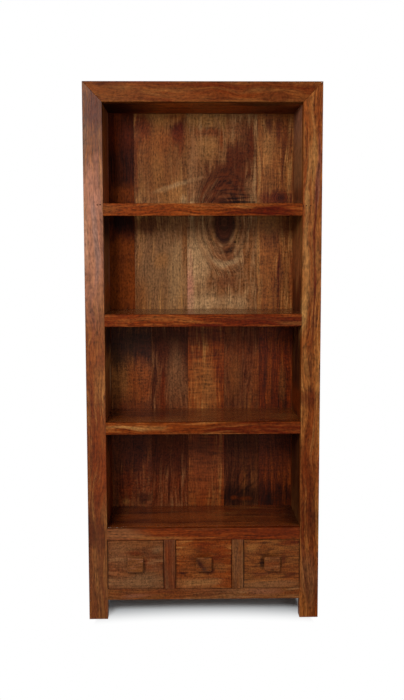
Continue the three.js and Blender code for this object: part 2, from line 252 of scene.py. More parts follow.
class Lie(Enum):
    """How a board lies: the row frame's directions that run across its face and along its fibres."""

    UPRIGHT_TO_FRONT = ("X", "Z")
    UPRIGHT_TO_SIDE = ("Y", "Z")
    LEVEL_TO_FRONT = ("Z", "X")
    LEVEL_TO_SIDE = ("Z", "Y")
    FLAT = ("Y", "X")

    @property
    def turn(self) -> Matrix:
        """The turn from the board's own frame, fibres along Z, to the row frame."""
        across, along = (Matrix.Identity(3)["XYZ".index(letter)] for letter in self.value)
        return Matrix((across, along.cross(across), along)).transposed()


@dataclass(frozen=True)
class Knot:
    """A knot, with the rings that swell round it and its dark core. Lengths are in mm of the row frame."""

    x: float
    z: float
    half_width: float
    half_height: float
    core: Tone = BARK
    darkness: float = 0.8
    halo: Tone = HONEY
    glow: float = 0.0
    arcs: float = 0.25
    swell: float = 1.0
    y: float = 0.0


@dataclass(frozen=True)
class Cloud:
    """A soft patch of another tone: where the stain took more or less, and on some boards painted shade or
    light. Lengths are in mm of the row frame.
    """

    x: float
    z: float
    half_width: float
    half_height: float
    tone: Tone
    strength: float = 0.6
    tilt: float = 0.0
    y: float = 0.0


@dataclass(frozen=True)
class Timber:
    """A board of mango wood, stained and sprayed with satin lacquer: brown, red and gold, low sheen.

    The trunk's heart lies that many mm from the board's middle, across its face and through it, and the
    growth rings are cones round it. From lines to fine come the strengths and sizes of the figure's parts,
    then the lacquer's roughness and shine, and the board's knots and patches. Some patches paint shade or
    light.
    """

    ground: Tone = CHESTNUT
    pale: Tone = AMBER
    deep: Tone = UMBER
    cast: Tone = COPPER
    heart: tuple[float, float] = (70.0, 90.0)
    taper: float = 0.02
    wander: float = 9.0
    lines: float = 0.35
    ripple: float = 0.15
    blotch: float = 0.3
    tint: float = 0.4
    vigour: float = 1.0
    shortness: float = 1.0
    breadth: float = 1.0
    fine: float = 1.0
    seed: float = 1.0
    rough: float = 0.42
    sheen: float = 0.06
    knots: tuple[Knot, ...] = ()
    clouds: tuple[Cloud, ...] = ()

    def clouded(self, *rows: tuple) -> "Timber":
        """The same board with more patches.

        Args:
            rows: each patch as the values of a Cloud.

        Returns:
            The board with the patches laid over its others.
        """
        return replace(self, clouds=self.clouds + tuple(Cloud(*row) for row in rows))


Boards = dict[Lie, dict[str, Timber]]
# the fields of a Timber that the grain takes as they are
GRAIN_TONES = ("pale", "ground", "deep", "cast")
GRAIN_NUMBERS = ("lines", "ripple", "blotch", "tint", "vigour", "shortness", "breadth", "fine", "seed")


@dataclass(frozen=True)
class Stud:
    """A low round head on a face that looks along Y: a filled nail hole or a brad. Lengths are in mm."""

    radius: float
    proud: float
    crown: float = 0.8
    sides: int = 16

    def add(self, mesh: BMesh, place: Vector, way: int) -> None:
        """Adds one stud to a mesh.

        Args:
            mesh: the mesh that gets it, metres.
            place: the middle of its foot, metres.
            way: 1 for a head that faces +Y, -1 for one that faces -Y.
        """
        foot = Matrix.Translation(place) @ Matrix.Rotation(math.radians(-90 * way), 4, "X")
        size = {"segments": self.sides, "radius": self.radius * MM}
        disc = bmesh.ops.create_circle(mesh, cap_ends=True, matrix=foot, **size)
        faces = list({face for vert in disc["verts"] for face in vert.link_faces})
        head = bmesh.ops.extrude_face_region(mesh, geom=faces)
        corners = [part for part in head["geom"] if isinstance(part, BMVert)]
        bmesh.ops.translate(mesh, verts=corners, vec=(0.0, way * self.proud * MM, 0.0))
        crown = (self.crown, 1.0, self.crown)
        bmesh.ops.scale(mesh, verts=corners, vec=crown, space=Matrix.Translation(-place))
        bmesh.ops.recalc_face_normals(mesh, faces=mesh.faces)


class TimberPattern:
    """The node groups that all the boards share. In them lengths are in mm, and the fibres run along Z."""

    # a branch or a bend in the trunk moves the fibres over about a third of a metre
    BEND_SIZE = (90, 90, 300)
    BEND_REACH = (6.0, 6.0, 0.0)
    # the size of the dents in a knot's outline, mm
    RAGGED_SIZE = 40.0
    # round a knot, in shares of its size: how ragged it is, where the fibres turn into ovals, its dark core
    # and growth rings, and the bright crescent of crowded fibres under a big one
    KNOT_RAGGED = 0.22
    KNOT_TURN = {"From Min": 2.4, "From Max": 0.6}
    KNOT_CORE = {"From Min": 1.08, "From Max": 0.7}
    KNOT_RINGS = {"From Min": 2.9, "From Max": 1.2}
    RING_PITCH = 14.0
    CRESCENT_RADIUS = 1.75
    CRESCENT = {"From Min": 0.2, "From Max": 0.02}
    CRESCENT_UNDER = {"From Min": -1.2, "From Max": -1.75}
    # a cloud's frayed edge, in shares of its size
    FRAY = 3.0
    CLOUD_EDGE = {"From Min": 2.8, "From Max": 1.8}
    # where the noises, all about 0.5, turn into streaks, casts, stains, dark ring lines and pores
    NOISE_MIDDLE, NOISE_ROUGHNESS = 0.5, 0.6
    STREAK = 0.1
    TINGE = {"From Min": 0.48, "From Max": 0.62}
    STAIN = {"From Min": 0.5, "From Max": 0.66}
    RING_LINE = {"From Min": 0.03, "From Max": 0.0}
    PORE = {"From Min": 0.58, "From Max": 0.72}
    # how much the ripple and the pores change the brightness, and the pores the roughness and the height
    RIPPLE_SHADE, PORE_SHADE, PORE_ROUGHNESS, PORE_HEIGHT = 2.4, -0.4, 0.25, -0.8

    def __init__(self) -> None:
        """Builds the four groups."""
        self.rings = self._rings()
        self.knot = self._knot()
        self.cloud = self._cloud()
        self.grain = self._grain()

    @staticmethod
    def _group(name: str, inputs: dict[str, str], outputs: dict[str, str]) -> tuple[NodeTree, Adder, Any]:
        """Starts a node group.

        Args:
            name: the group's name.
            inputs: socket kinds by name.
            outputs: socket kinds by name.

        Returns:
            The tree, add_node for it, and what it is given: the outputs of its input node.
        """
        tree = bpy.data.node_groups.new(name, "ShaderNodeTree")
        for way, sockets in (("INPUT", inputs), ("OUTPUT", outputs)):
            for label, kind in sockets.items():
                tree.interface.new_socket(name=label, in_out=way, socket_type="NodeSocket" + kind)
        add = partial(add_node, tree)
        return tree, add, add("NodeGroupInput").outputs

    def _rings(self) -> NodeTree:
        """A board's field: X counts the fibres across the face, Y the growth rings, cones round the heart.

        Returns:
            The node group.
        """
        tree, add, given = self._group(
            "growth_rings",
            {"Place": "Vector", "Heart": "Vector", "Taper": "Float", "Wander": "Float", "Seed": "Float"},
            {"Place": "Vector", "Field": "Vector"},
        )
        frequency = tuple(1 / size for size in self.BEND_SIZE)
        wide = add("VectorMath", given["Place"], frequency, operation="MULTIPLY")
        noise = {"Vector": wide, "W": given["Seed"], "Scale": 1.0, "Detail": 2.0}
        bend = add("TexNoise", noise, noise_dimensions="4D").outputs["Color"]
        middle = add("VectorMath", bend, (0.5, 0.5, 0.5), operation="SUBTRACT")
        sway = add("VectorMath", middle, {"Scale": given["Wander"]}, operation="SCALE")
        moved = add("VectorMath", sway, self.BEND_REACH, given["Place"], operation="MULTIPLY_ADD")
        from_heart = add("VectorMath", moved, given["Heart"], operation="SUBTRACT")
        level = add("VectorMath", from_heart, (1.0, 1.0, 0.0), operation="MULTIPLY")
        radius = add("VectorMath", level, operation="LENGTH").outputs["Value"]
        height = add("SeparateXYZ", given["Place"]).outputs["Z"]
        cone = add("Math", height, given["Taper"], operation="MULTIPLY")
        rings = add("Math", radius, cone, operation="SUBTRACT")
        across = add("SeparateXYZ", moved).outputs["X"]
        both = add("CombineXYZ", {"X": across, "Y": rings})
        add("NodeGroupOutput", {"Place": moved, "Field": both})
        return tree

    def _knot(self) -> NodeTree:
        """A knot: near it the fibres and rings become ovals round it, and its core is dark.

        Returns:
            The node group.
        """
        tree, add, given = self._group(
            "knot",
            {"Place": "Vector", "Field": "Vector", "At": "Vector", "Size": "Vector", "Swell": "Float"},
            {"Field": "Vector", "Core": "Float", "Halo": "Float", "Arcs": "Float"},
        )
        apart = add("VectorMath", given["Place"], given["At"], operation="SUBTRACT")
        shares = add("VectorMath", apart, given["Size"], operation="DIVIDE")
        away = add("VectorMath", shares, operation="LENGTH").outputs["Value"]
        edge = add("TexNoise", {"Vector": given["Place"], "Scale": 1 / self.RAGGED_SIZE, "Detail": 2.0})
        ragged = add("Math", edge, self.KNOT_RAGGED, away, operation="MULTIPLY_ADD")
        distance = add("Math", ragged, self.KNOT_RAGGED / 2, operation="SUBTRACT")
        near = add("MapRange", {"Value": distance, **self.KNOT_TURN, "To Max": given["Swell"]}, **SMOOTH)
        width = add("SeparateXYZ", given["Size"]).outputs["X"]
        ovals = add("Math", distance, width, operation="MULTIPLY")
        both = add("CombineXYZ", {"X": ovals, "Y": ovals})
        first, second, result = MIX_VECTORS
        mixed = {"Factor": near, first: given["Field"], second: both}
        bent = add("Mix", mixed, data_type="VECTOR").outputs[result]
        core = add("MapRange", {"Value": distance, **self.KNOT_CORE}, **SMOOTH)
        # pale and dark growth rings, fading outwards
        turn = add("Math", distance, self.RING_PITCH, operation="MULTIPLY")
        wave = add("Math", turn, operation="SINE")
        reach = add("MapRange", {"Value": distance, **self.KNOT_RINGS}, **SMOOTH)
        arcs = add("Math", wave, reach, operation="MULTIPLY")
        off_ring = add("Math", distance, self.CRESCENT_RADIUS, operation="SUBTRACT")
        from_ring = add("Math", off_ring, operation="ABSOLUTE")
        ring = add("MapRange", {"Value": from_ring, **self.CRESCENT}, **SMOOTH)
        height = add("SeparateXYZ", shares).outputs["Z"]
        under = add("MapRange", {"Value": height, **self.CRESCENT_UNDER}, **SMOOTH)
        halo = add("Math", ring, under, operation="MULTIPLY")
        add("NodeGroupOutput", {"Field": bent, "Core": core, "Halo": halo, "Arcs": arcs})
        return tree

    def _cloud(self) -> NodeTree:
        """A soft oval whose edge frays along the fibres.

        Returns:
            The node group.
        """
        kinds = {"Place": "Vector", "Figure": "Float", "At": "Vector", "Size": "Vector", "Strength": "Float"}
        tree, add, given = self._group("cloud", kinds | {"Tilt": "Float"}, {"Cover": "Float"})
        apart = add("VectorMath", given["Place"], given["At"], operation="SUBTRACT")
        turned = add("VectorRotate", {"Vector": apart, "Angle": given["Tilt"]}, rotation_type="Y_AXIS")
        shares = add("VectorMath", turned, given["Size"], operation="DIVIDE")
        away = add("VectorMath", shares, operation="LENGTH").outputs["Value"]
        frayed = add("Math", given["Figure"], self.FRAY, away, operation="MULTIPLY_ADD")
        cover = add("MapRange", {"Value": frayed, **self.CLOUD_EDGE, "To Max": given["Strength"]}, **SMOOTH)
        add("NodeGroupOutput", {"Cover": cover})
        return tree

    def _grain(self) -> NodeTree:
        """The figure itself: wide bands, streaks, fibres, flecks, dark ring lines, cross ripple and pores.

        Returns:
            The node group.
        """
        kinds = {"Place": "Vector", "Field": "Vector"} | {name.title(): "Color" for name in GRAIN_TONES}
        tree, add, given = self._group(
            "mango_grain",
            kinds | {name.title(): "Float" for name in GRAIN_NUMBERS},
            {"Color": "Color", "Shade": "Float", "Figure": "Float", "Roughness": "Float", "Height": "Float"},
        )
        parts = add("SeparateXYZ", given["Place"]).outputs
        broad = add("Math", 1.0, given["Breadth"], operation="DIVIDE")
        broad_field = add("VectorMath", given["Field"], {"Scale": broad}, operation="SCALE")
        field_parts = add("SeparateXYZ", broad_field).outputs
        along = add("Math", parts["Z"], given["Shortness"], operation="MULTIPLY")
        fibre_place, ring_place = (
            add("CombineXYZ", {"X": field_parts[axis], "Y": parts["Y"], "Z": along}) for axis in "XY"
        )

        def marks(source: Any, size: Triple, detail: float, shift: float) -> NodeSocket:
            """Noise drawn out along the fibres.

            Args:
                source: the place, or the place with the fibres or rings as X.
                size: a mark's size across the face, through the board and along the fibres, mm.
                detail: octaves of finer marks.
                shift: keeps this noise apart from the others.

            Returns:
                The noise, about 0.5.
            """
            frequency = tuple(1 / part for part in size)
            scaled = add("VectorMath", source, frequency, operation="MULTIPLY")
            seed = add("Math", given["Seed"], shift, operation="ADD")
            noise = {"Vector": scaled, "W": seed, "Scale": 1.0, "Detail": detail}
            noise["Roughness"] = self.NOISE_ROUGHNESS
            return add("TexNoise", noise, noise_dimensions="4D").outputs[0]

        bands = marks(ring_place, (26, 70, 600), 2, 3)
        streaks = marks(fibre_place, (11, 40, 180), 3, 7)
        # real fibres are under 0.1 mm wide: drawn over 3 mm wide, so that they show from a step away
        fibres = marks(fibre_place, (3.4, 8, 130), 2, 11)
        casts = marks(fibre_place, (34, 60, 260), 3, 13)
        stains = marks(given["Place"], (50, 50, 110), 3, 17)
        flecks = marks(fibre_place, (5, 6, 9), 1, 19)
        ripples = marks(given["Place"], (60, 60, 8), 1, 23)
        # mango's pores are dashes of 0.2 mm by 5 to 10 mm: drawn 1.4 mm wide, so that they show
        pores = marks(fibre_place, (1.4, 1.4, 18), 1, 29)
        veins = marks(ring_place, (13, 60, 900), 2, 31)

        figure = summed(add, 0.0, (bands, 0.34), (streaks, 0.36), (fibres, 0.30))
        off_middle, off_line, wave = (
            add("Math", noise, self.NOISE_MIDDLE, operation="SUBTRACT") for noise in (figure, veins, ripples)
        )
        strong = add("Math", off_middle, given["Vigour"], operation="MULTIPLY")
        ends = (self.STREAK, -self.STREAK)
        paler, deeper = (add("MapRange", {"Value": strong, "From Min": 0.0, "From Max": end}) for end in ends)
        tinge = add("MapRange", {"Value": casts, **self.TINGE, "To Max": given["Tint"]}, **SMOOTH)
        stain = add("MapRange", {"Value": stains, **self.STAIN, "To Max": given["Blotch"]}, **SMOOTH)
        distance = add("Math", off_line, operation="ABSOLUTE")
        line = add("MapRange", {"Value": distance, **self.RING_LINE, "To Max": given["Lines"]}, **SMOOTH)
        pale, ground, deep, cast = (given[name.title()] for name in GRAIN_TONES)
        layers = ((paler, pale), (deeper, deep), (tinge, cast), (stain, deep), (line, BARK.colour))
        colour = layered(add, ground, layers)

        swing = add("Math", wave, given["Ripple"], operation="MULTIPLY")
        pore = add("MapRange", {"Value": pores, **self.PORE})
        # half the fine marks' shares is taken off first, so that they brighten and darken alike
        fine = summed(add, -1.55, (fibres, 1.4), (flecks, 1.7))
        fine_share = add("Math", given["Vigour"], given["Fine"], operation="MULTIPLY")
        fine_strong = add("Math", fine, fine_share, operation="MULTIPLY")
        shade = summed(add, 1.0, (fine_strong, 1.0), (swing, self.RIPPLE_SHADE), (pore, self.PORE_SHADE))
        rough = add("Math", pore, self.PORE_ROUGHNESS, operation="MULTIPLY")
        relief = summed(add, figure, (pore, self.PORE_HEIGHT))
        fray = summed(add, 0.0, (stains, 0.45), (fibres, 0.2), (streaks, 0.35))
        results = {"Color": colour, "Shade": shade, "Figure": fray, "Roughness": rough, "Height": relief}
        add("NodeGroupOutput", results)
        return tree


class TimberShop:
    """Makes the finish of each board from its Timber."""

    LACQUER_IOR = 1.5
    RELIEF = {"Strength": 0.25, "Distance": 0.0004}

    def __init__(self) -> None:
        """Builds the shared groups."""
        self.pattern = TimberPattern()

    def finish(self, name: str, timber: Timber, lie: Lie, middle: Vector) -> Material:
        """Makes one board's material.

        Args:
            name: the board's name.
            timber: how it looks.
            lie: how it lies.
            middle: the middle of the board, metres.

        Returns:
            The material.
        """
        material = bpy.data.materials.new(f"lacquered_mango_{name}")
        add = start_nodes(material)
        inverse = lie.turn.transposed()

        def spot(mark: Knot | Cloud) -> dict[str, Any]:
            """A mark's place and half sizes, mm, in the board's own frame.

            Args:
                mark: the knot or cloud.

            Returns:
                The values by socket. The mark is endless through the board.
            """
            halves = dict(zip(sorted(lie.value), (mark.half_width, mark.half_height)))
            size = inverse @ Vector([halves.get(axis, ENDLESS) for axis in "XYZ"])
            place = inverse @ (Vector((mark.x, mark.y, mark.z)) - middle / MM)
            return {"At": place, "Size": [abs(part) for part in size]}

        frame = {"Location": middle, "Rotation": lie.turn.to_euler(), "Scale": (MM, MM, MM)}
        board = add("Mapping", {"Vector": add("TexCoord").outputs["Object"], **frame}, vector_type="TEXTURE")
        trunk = {"Heart": (*timber.heart, 0.0), "Taper": timber.taper, "Wander": timber.wander}
        rings = {"Place": board, **trunk, "Seed": timber.seed}
        place, field_now = add("Group", rings, node_tree=self.pattern.rings).outputs
        cores: list[tuple[Node, Colour]] = []
        arcs: list[tuple[NodeSocket, float]] = []
        for knot in timber.knots:
            sockets = {"Place": place, "Field": field_now, "Swell": knot.swell, **spot(knot)}
            field_now, core, halo, wave = add("Group", sockets, node_tree=self.pattern.knot).outputs
            for cover, strength, tone in ((core, knot.darkness, knot.core), (halo, knot.glow, knot.halo)):
                cores.append((add("Math", cover, strength, operation="MULTIPLY"), tone.colour))
            arcs.append((wave, knot.arcs))
        looks = {tone.title(): getattr(timber, tone).colour for tone in GRAIN_TONES}
        looks |= {number.title(): getattr(timber, number) for number in GRAIN_NUMBERS}
        looks |= {"Place": place, "Field": field_now}
        grain = add("Group", looks, node_tree=self.pattern.grain).outputs
        covers: list[tuple[Node, Colour]] = []
        for cloud in timber.clouds:
            edge = {"Strength": cloud.strength, "Tilt": math.radians(cloud.tilt)}
            sockets = {"Place": place, "Figure": grain["Figure"], **edge, **spot(cloud)}
            covers.append((add("Group", sockets, node_tree=self.pattern.cloud), cloud.tone.colour))
        colour, shade = layered(add, grain["Color"], covers + cores), summed(add, grain["Shade"], *arcs)
        shaded = add("VectorMath", colour, {"Scale": shade}, operation="SCALE")
        rough = add("Math", grain["Roughness"], timber.rough, operation="ADD")
        bump = add("Bump", {**self.RELIEF, "Height": grain["Height"]})
        lacquer = {"IOR": self.LACQUER_IOR, "Specular IOR Level": timber.sheen}
        skin = add("BsdfPrincipled", {"Base Color": shaded, "Roughness": rough, "Normal": bump, **lacquer})
        add("OutputMaterial", {"Surface": skin})
        return material


@dataclass(frozen=True)
class SpottedFinish:
    """The finish of a small head: one colour with fine spots of another."""

    name: str
    colour: Colour
    spots: Colour
    scale: float
    detail: float
    roughness: float
    low: float = 0.0
    high: float = 1.0
    metallic: float = 0.0
    sheen: float = 0.5

    def make(self) -> Material:
        """Makes the material.

        Returns:
            The material.
        """
        material = bpy.data.materials.new(self.name)
        add = start_nodes(material)
        place = add("TexCoord").outputs["Object"]
        noise = add("TexNoise", {"Vector": place, "Scale": self.scale, "Detail": self.detail})
        cover = add("MapRange", {"Value": noise, "From Min": self.low, "From Max": self.high})
        body = {"Roughness": self.roughness, "Metallic": self.metallic, "Specular IOR Level": self.sheen}
        skin = add("BsdfPrincipled", {"Base Color": layered(add, self.colour, [(cover, self.spots)]), **body})
        add("OutputMaterial", {"Surface": skin})
        return material


# hard wax pressed into a nail hole: nearly black, with a dull face mottled in spots of about a millimetre
HARD_WAX = SpottedFinish(
    "hard_wax_filler", linear("1c0b06"), BARK.colour, scale=900.0, detail=2.0, roughness=0.55, sheen=0.03
)
# small steel brads: dark heat-blued heads with a brown bloom of rust, in spots of about a millimetre
BLUED_STEEL = SpottedFinish(
    "blued_steel_brads", linear("5a5a60"), linear("5c4030"), scale=700.0, detail=3.0, roughness=0.42,
    low=0.45, high=0.65, metallic=0.9,
)


@dataclass
class EasedEdges:
    """The sanded arrises of a board, as modifiers on its CAD mesh. Lengths are in mm, angles in degrees."""

    radius: float = 1.2
    steps: int = 2
    weld: float = 0.01
    flat: float = 0.5
    sharp: float = 40.0

    def ease(self, board: Object) -> None:
        """Rounds a board's sharp edges.

        Args:
            board: the object.
        """
        flat, sharp = math.radians(self.flat), math.radians(self.sharp)
        bevel = {"width": self.radius * MM, "segments": self.steps, "use_clamp_overlap": True}
        bevel |= {"limit_method": "ANGLE", "angle_limit": sharp, "loop_slide": False, "harden_normals": False}
        for name, kind, settings in (
            ("joined_facets", "WELD", {"merge_threshold": self.weld * MM}),
            ("whole_faces", "DECIMATE", {"decimate_type": "DISSOLVE", "angle_limit": flat}),
            ("eased_edges", "BEVEL", bevel),
        ):
            modifier = board.modifiers.new(name, kind)
            for setting, value in settings.items():
                setattr(modifier, setting, value)


@dataclass(frozen=True)
class Lamp:
    """One soft lamp: where it hangs, the point it faces, its width and height, power and colour."""

    name: str
    place: Triple
    target: Triple
    size: tuple[float, float]
    watts: float
    warmth: str = "ffffff"

    def hang(self) -> None:
        """Puts the lamp in the scene."""
        data = bpy.data.lights.new(self.name, "AREA")
        data.shape = "RECTANGLE"
        data.size, data.size_y = self.size
        data.energy = self.watts
        data.color = linear(self.warmth)[:3]
        lamp = put(self.name, data)
        lamp.location = self.place
        lamp.rotation_euler = (Vector(self.target) - Vector(self.place)).to_track_quat("-Z", "Y").to_euler()


@dataclass
class Studio:
    """The photographer's room: camera, lamps, floor and white ground.

    Lengths are metres and angles degrees, but the sensor's width is in mm and the focal length in pixels.
    """

    camera_place: Triple = (-0.06932, -3.35996, 1.26308)
    looks_right: float = 1.155
    looks_down: float = 6.053
    leans: float = -0.1187
    focal_pixels: float = 974.975
    sensor: float = 36.0
    room_light: float = 0.12
    paper: str = "ccd5da"
    floor_reach: float = 14.0
    # the strips of the floor from which the case keeps the light, each from full shadow to white
    shadow_front: tuple[float, float] = (0.012, -0.172)
    shadow_back: tuple[float, float] = (0.08, 0.17)
    shadow_side: tuple[float, float] = (0.33, 0.375)
    shadow_bow: float = 0.24
    # the soft box at the upper left, a weaker fill, a strip for the left post, and a fill for the back
    lamps: tuple[Lamp, ...] = (
        Lamp("soft_box_left", (-1.05, -3.3, 2.15), (0.0, 0.0, 1.0), (0.9, 0.7), 93.0),
        Lamp("fill_right", (1.2, -3.5, 1.4), (0.0, 0.0, 0.9), (1.2, 1.2), 26.0),
        Lamp("strip_left", (-0.64, -3.3, 1.5), (-0.36, 0.0, 1.4), (0.2, 0.9), 12.0, "ffe8d8"),
        Lamp("fill_behind", (0.6, 3.0, 2.4), (0.0, 0.2, 1.0), (1.2, 1.2), 70.0),
    )

    def set_camera(self) -> None:
        """Puts the camera where the photograph was taken from."""
        data = bpy.data.cameras.new("view_camera")
        data.sensor_fit = "AUTO"
        data.sensor_width = self.sensor
        data.lens = self.focal_pixels * self.sensor / PHOTO_HEIGHT
        camera = put("view_camera", data)
        yaw, pitch, roll = (math.radians(a) for a in (self.looks_right, self.looks_down, self.leans))
        ahead = Vector((math.sin(yaw) * math.cos(pitch), math.cos(yaw) * math.cos(pitch), -math.sin(pitch)))
        level = Vector((math.cos(yaw), -math.sin(yaw), 0.0))
        upward = level.cross(ahead)
        right = math.cos(roll) * level + math.sin(roll) * upward
        up = -math.sin(roll) * level + math.cos(roll) * upward
        turn = Matrix((right, up, -ahead)).transposed().to_4x4()
        camera.matrix_world = Matrix.Translation(self.camera_place) @ turn
        bpy.context.scene.camera = camera

    @staticmethod
    def add_sight(add: Adder) -> NodeSocket:
        """Tells the rays that see the white ground from those that only light the object.

        Args:
            add: add_node for the tree that asks.

        Returns:
            One for a camera, glossy or transmission ray, else zero.
        """
        ray = add("LightPath").outputs
        seen = ray["Is Camera Ray"]
        for kind in ("Is Glossy Ray", "Is Transmission Ray"):
            seen = add("Math", seen, ray[kind], operation="MAXIMUM").outputs[0]
        return seen

    def set_room(self) -> None:
        """Lights the room dimly, and shows a white ground to the camera and in reflections."""
        world = bpy.data.worlds.new("white_ground")
        add = start_nodes(world)
        powers = (self.room_light, 1.0)
        dim, white = (add("Background", {"Color": WHITE, "Strength": power}) for power in powers)
        add("OutputWorld", {"Surface": add("MixShader", self.add_sight(add), dim, white)})
        bpy.context.scene.world = world

    def set_floor(self) -> None:
        """Lays the pale floor. The camera sees it white, except where the case keeps the light off it."""
        mesh = bmesh.new()
        bmesh.ops.create_grid(mesh, x_segments=1, y_segments=1, size=self.floor_reach)
        # heavy uncoated paper: quite matt, so that it only takes the shadow and lights the underside
        material = bpy.data.materials.new("white_studio_paper")
        floor = put_mesh("studio_floor", mesh, material)
        add = start_nodes(material)
        place = add("SeparateXYZ", add("TexCoord").outputs["Object"]).outputs
        side = add("Math", place["X"], operation="ABSOLUTE")
        bow = add("Math", side, 2.0, operation="POWER")
        bowed = add("Math", bow, self.shadow_bow, place["Y"], operation="MULTIPLY_ADD")
        clear: NodeSocket | float = 0.0
        strips = ((bowed, self.shadow_front), (place["Y"], self.shadow_back), (side, self.shadow_side))
        for way, (dark, light) in strips:
            fade = add("MapRange", {"Value": way, "From Min": dark, "From Max": light}, **SMOOTH)
            clear = add("Math", fade, clear, operation="MAXIMUM").outputs[0]
        share = add("Math", self.add_sight(add), clear, operation="MULTIPLY")
        paper = add("BsdfDiffuse", {"Color": linear(self.paper)})
        white = add("Emission", {"Color": WHITE, "Strength": 1.0})
        add("OutputMaterial", {"Surface": add("MixShader", share, paper, white)})

    def build(self) -> None:
        """Sets up the whole room."""
        self.set_camera()
        for lamp in self.lamps:
            lamp.hang()
        self.set_room()
        self.set_floor()


@dataclass
class Joinery:
    """A sub-assembly: boards that are cut, fitted and finished together. Lengths are in mm."""

    shop: TimberShop
    nodes: dict[str, Object]
    arris: float = 1.2

    def boards(self) -> Boards:
        """The boards by how they lie and by node name."""
        return {}

    def dress(self) -> None:
        """Gives every board its finish and its sanded edges."""
        for lie, timbers in self.boards().items():
            for name, timber in timbers.items():
                low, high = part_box(name)
                board = self.nodes[name]
                board.data.materials.clear()
                board.data.materials.append(self.shop.finish(name, timber, lie, (low + high) / 2))
                EasedEdges(self.arris).ease(board)
                log.info("dressed %s", name)

    def add_piece(self, name: str, mesh: BMesh, material: Material, body: str, slot: str) -> None:
        """Turns a finished bmesh into a piece that rides on a body.

        Args:
            name: the piece's name.
            mesh: its shape, in metres, in the row frame. It is freed.
            material: its finish.
            body: the CAD body it moves with.
            slot: the record's material slot; not used.
        """
        piece = put_mesh(name, mesh, material)
        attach(piece, body)
        log.info("made %s", name)


# Each board below starts with the tones of its ground, pale streaks, deep streaks and cast. A patch is given
# as x, z, half width, half height, tone, strength, tilt and y, in mm and degrees.

# the front posts and the dividers
UPRIGHTS = {
    "front_post_left": Timber(
        HAZEL, HONEY, WALNUT, heart=(150, 260), wander=14, seed=3.1, blotch=0.35, vigour=0.9, shortness=0.5,
        sheen=0.1,
    ).clouded(
        (-362, 1715, 60, 100, UMBER, 0.75), (-362, 1685, 60, 50, UMBER, 0.5),
        # painted sheen: the rose, mauve and flax patches from about 1000 to 1600 mm, with the slate patch at
        # 1250 that greys them, are lamp light drawn on the post
        (-386, 1600, 9, 160, SLATE, 0.5), (-350, 1600, 30, 60, WALNUT, 0.3), (-362, 1450, 60, 100, ROSE, 0.5),
        (-358, 1240, 40, 240, ROSE, 0.55), (-356, 1270, 9, 150, MAUVE, 0.7),
        (-356, 1250, 9, 150, SLATE, 0.35), (-384, 1510, 9, 40, WALNUT, 0.4), (-384, 1290, 9, 130, FLAX, 0.35),
        (-384, 1290, 9, 130, ROSE, 0.6), (-345, 1030, 20, 34, WALNUT, 0.5), (-345, 888, 15, 44, WALNUT, 0.85),
        (-348, 970, 12, 40, WALNUT, 0.4), (-338, 1180, 7, 200, WALNUT, 0.5),
        (-358, 900, 40, 130, CHESTNUT, 0.45), (-350, 800, 20, 60, HONEY, 0.35),
        (-376, 660, 12, 200, RUSSET, 0.7), (-352, 560, 60, 190, COPPER, 0.9), (-345, 640, 12, 60, AMBER, 0.3),
        (-384, 545, 12, 90, UMBER, 0.5), (-375, 400, 14, 70, UMBER, 0.4), (-352, 410, 8, 50, RUSSET, 0.5),
        (-362, 290, 60, 60, UMBER, 0.6), (-380, 310, 14, 80, UMBER, 0.85), (-358, 150, 60, 150, WALNUT, 0.4),
    ),
    "front_post_right": Timber(
        AMBER, HONEY, COPPER, heart=(-120, 200), wander=14, seed=8.4, vigour=1.1, shortness=0.6, sheen=0.04,
    ).clouded(
        (376, 1700, 14, 60, COPPER, 0.4), (340, 1680, 10, 40, CHESTNUT, 0.4),
        (342, 1510, 10, 110, STRAW, 0.55), (358, 1570, 9, 190, STRAW, 0.5), (376, 1500, 9, 130, CLAY, 0.5),
        (376, 1430, 9, 70, CLAY, 0.6), (342, 1415, 10, 50, STRAW, 0.7), (340, 1270, 12, 150, STRAW, 0.5),
        (340, 1055, 12, 80, STRAW, 0.7), (352, 1240, 40, 170, STRAW, 0.25), (360, 1230, 7, 90, CHESTNUT, 0.5),
        (340, 1022, 12, 50, STRAW, 0.85), (372, 690, 20, 70, RUSSET, 0.6), (374, 1290, 7, 330, OXBLOOD, 0.85),
        (374, 1010, 5, 180, OXBLOOD, 0.7), (355, 940, 40, 40, CHESTNUT, 0.3),
        (352, 757, 50, 30, OXBLOOD, 0.65, 12.0), (355, 680, 40, 60, CHESTNUT, 0.3),
        (360, 520, 60, 120, RUSSET, 0.7), (374, 400, 12, 140, UMBER, 0.75), (358, 350, 60, 90, UMBER, 0.6),
        (352, 150, 60, 120, WALNUT, 0.3), (352, 140, 40, 90, DRIFT, 0.35), (342, 95, 12, 70, UMBER, 0.5),
        (378, 70, 12, 60, UMBER, 0.6), (378, 440, 10, 50, UMBER, 0.75), (356, 890, 9, 50, HONEY, 0.6),
        (336, 900, 8, 110, CHESTNUT, 0.5), (384, 1020, 7, 36, WALNUT, 0.6), (382, 1217, 6, 34, HONEY, 0.5),
    ),
    "divider_left": Timber(WALNUT, TAN, RUSSET, seed=29.8, vigour=0.65).clouded(
        (-128, 220, 6, 60, COPPER, 0.7),
    ),
    "divider_right": Timber(HAZEL, CLAY, WALNUT, DRIFT, seed=31.6, vigour=0.8),
}
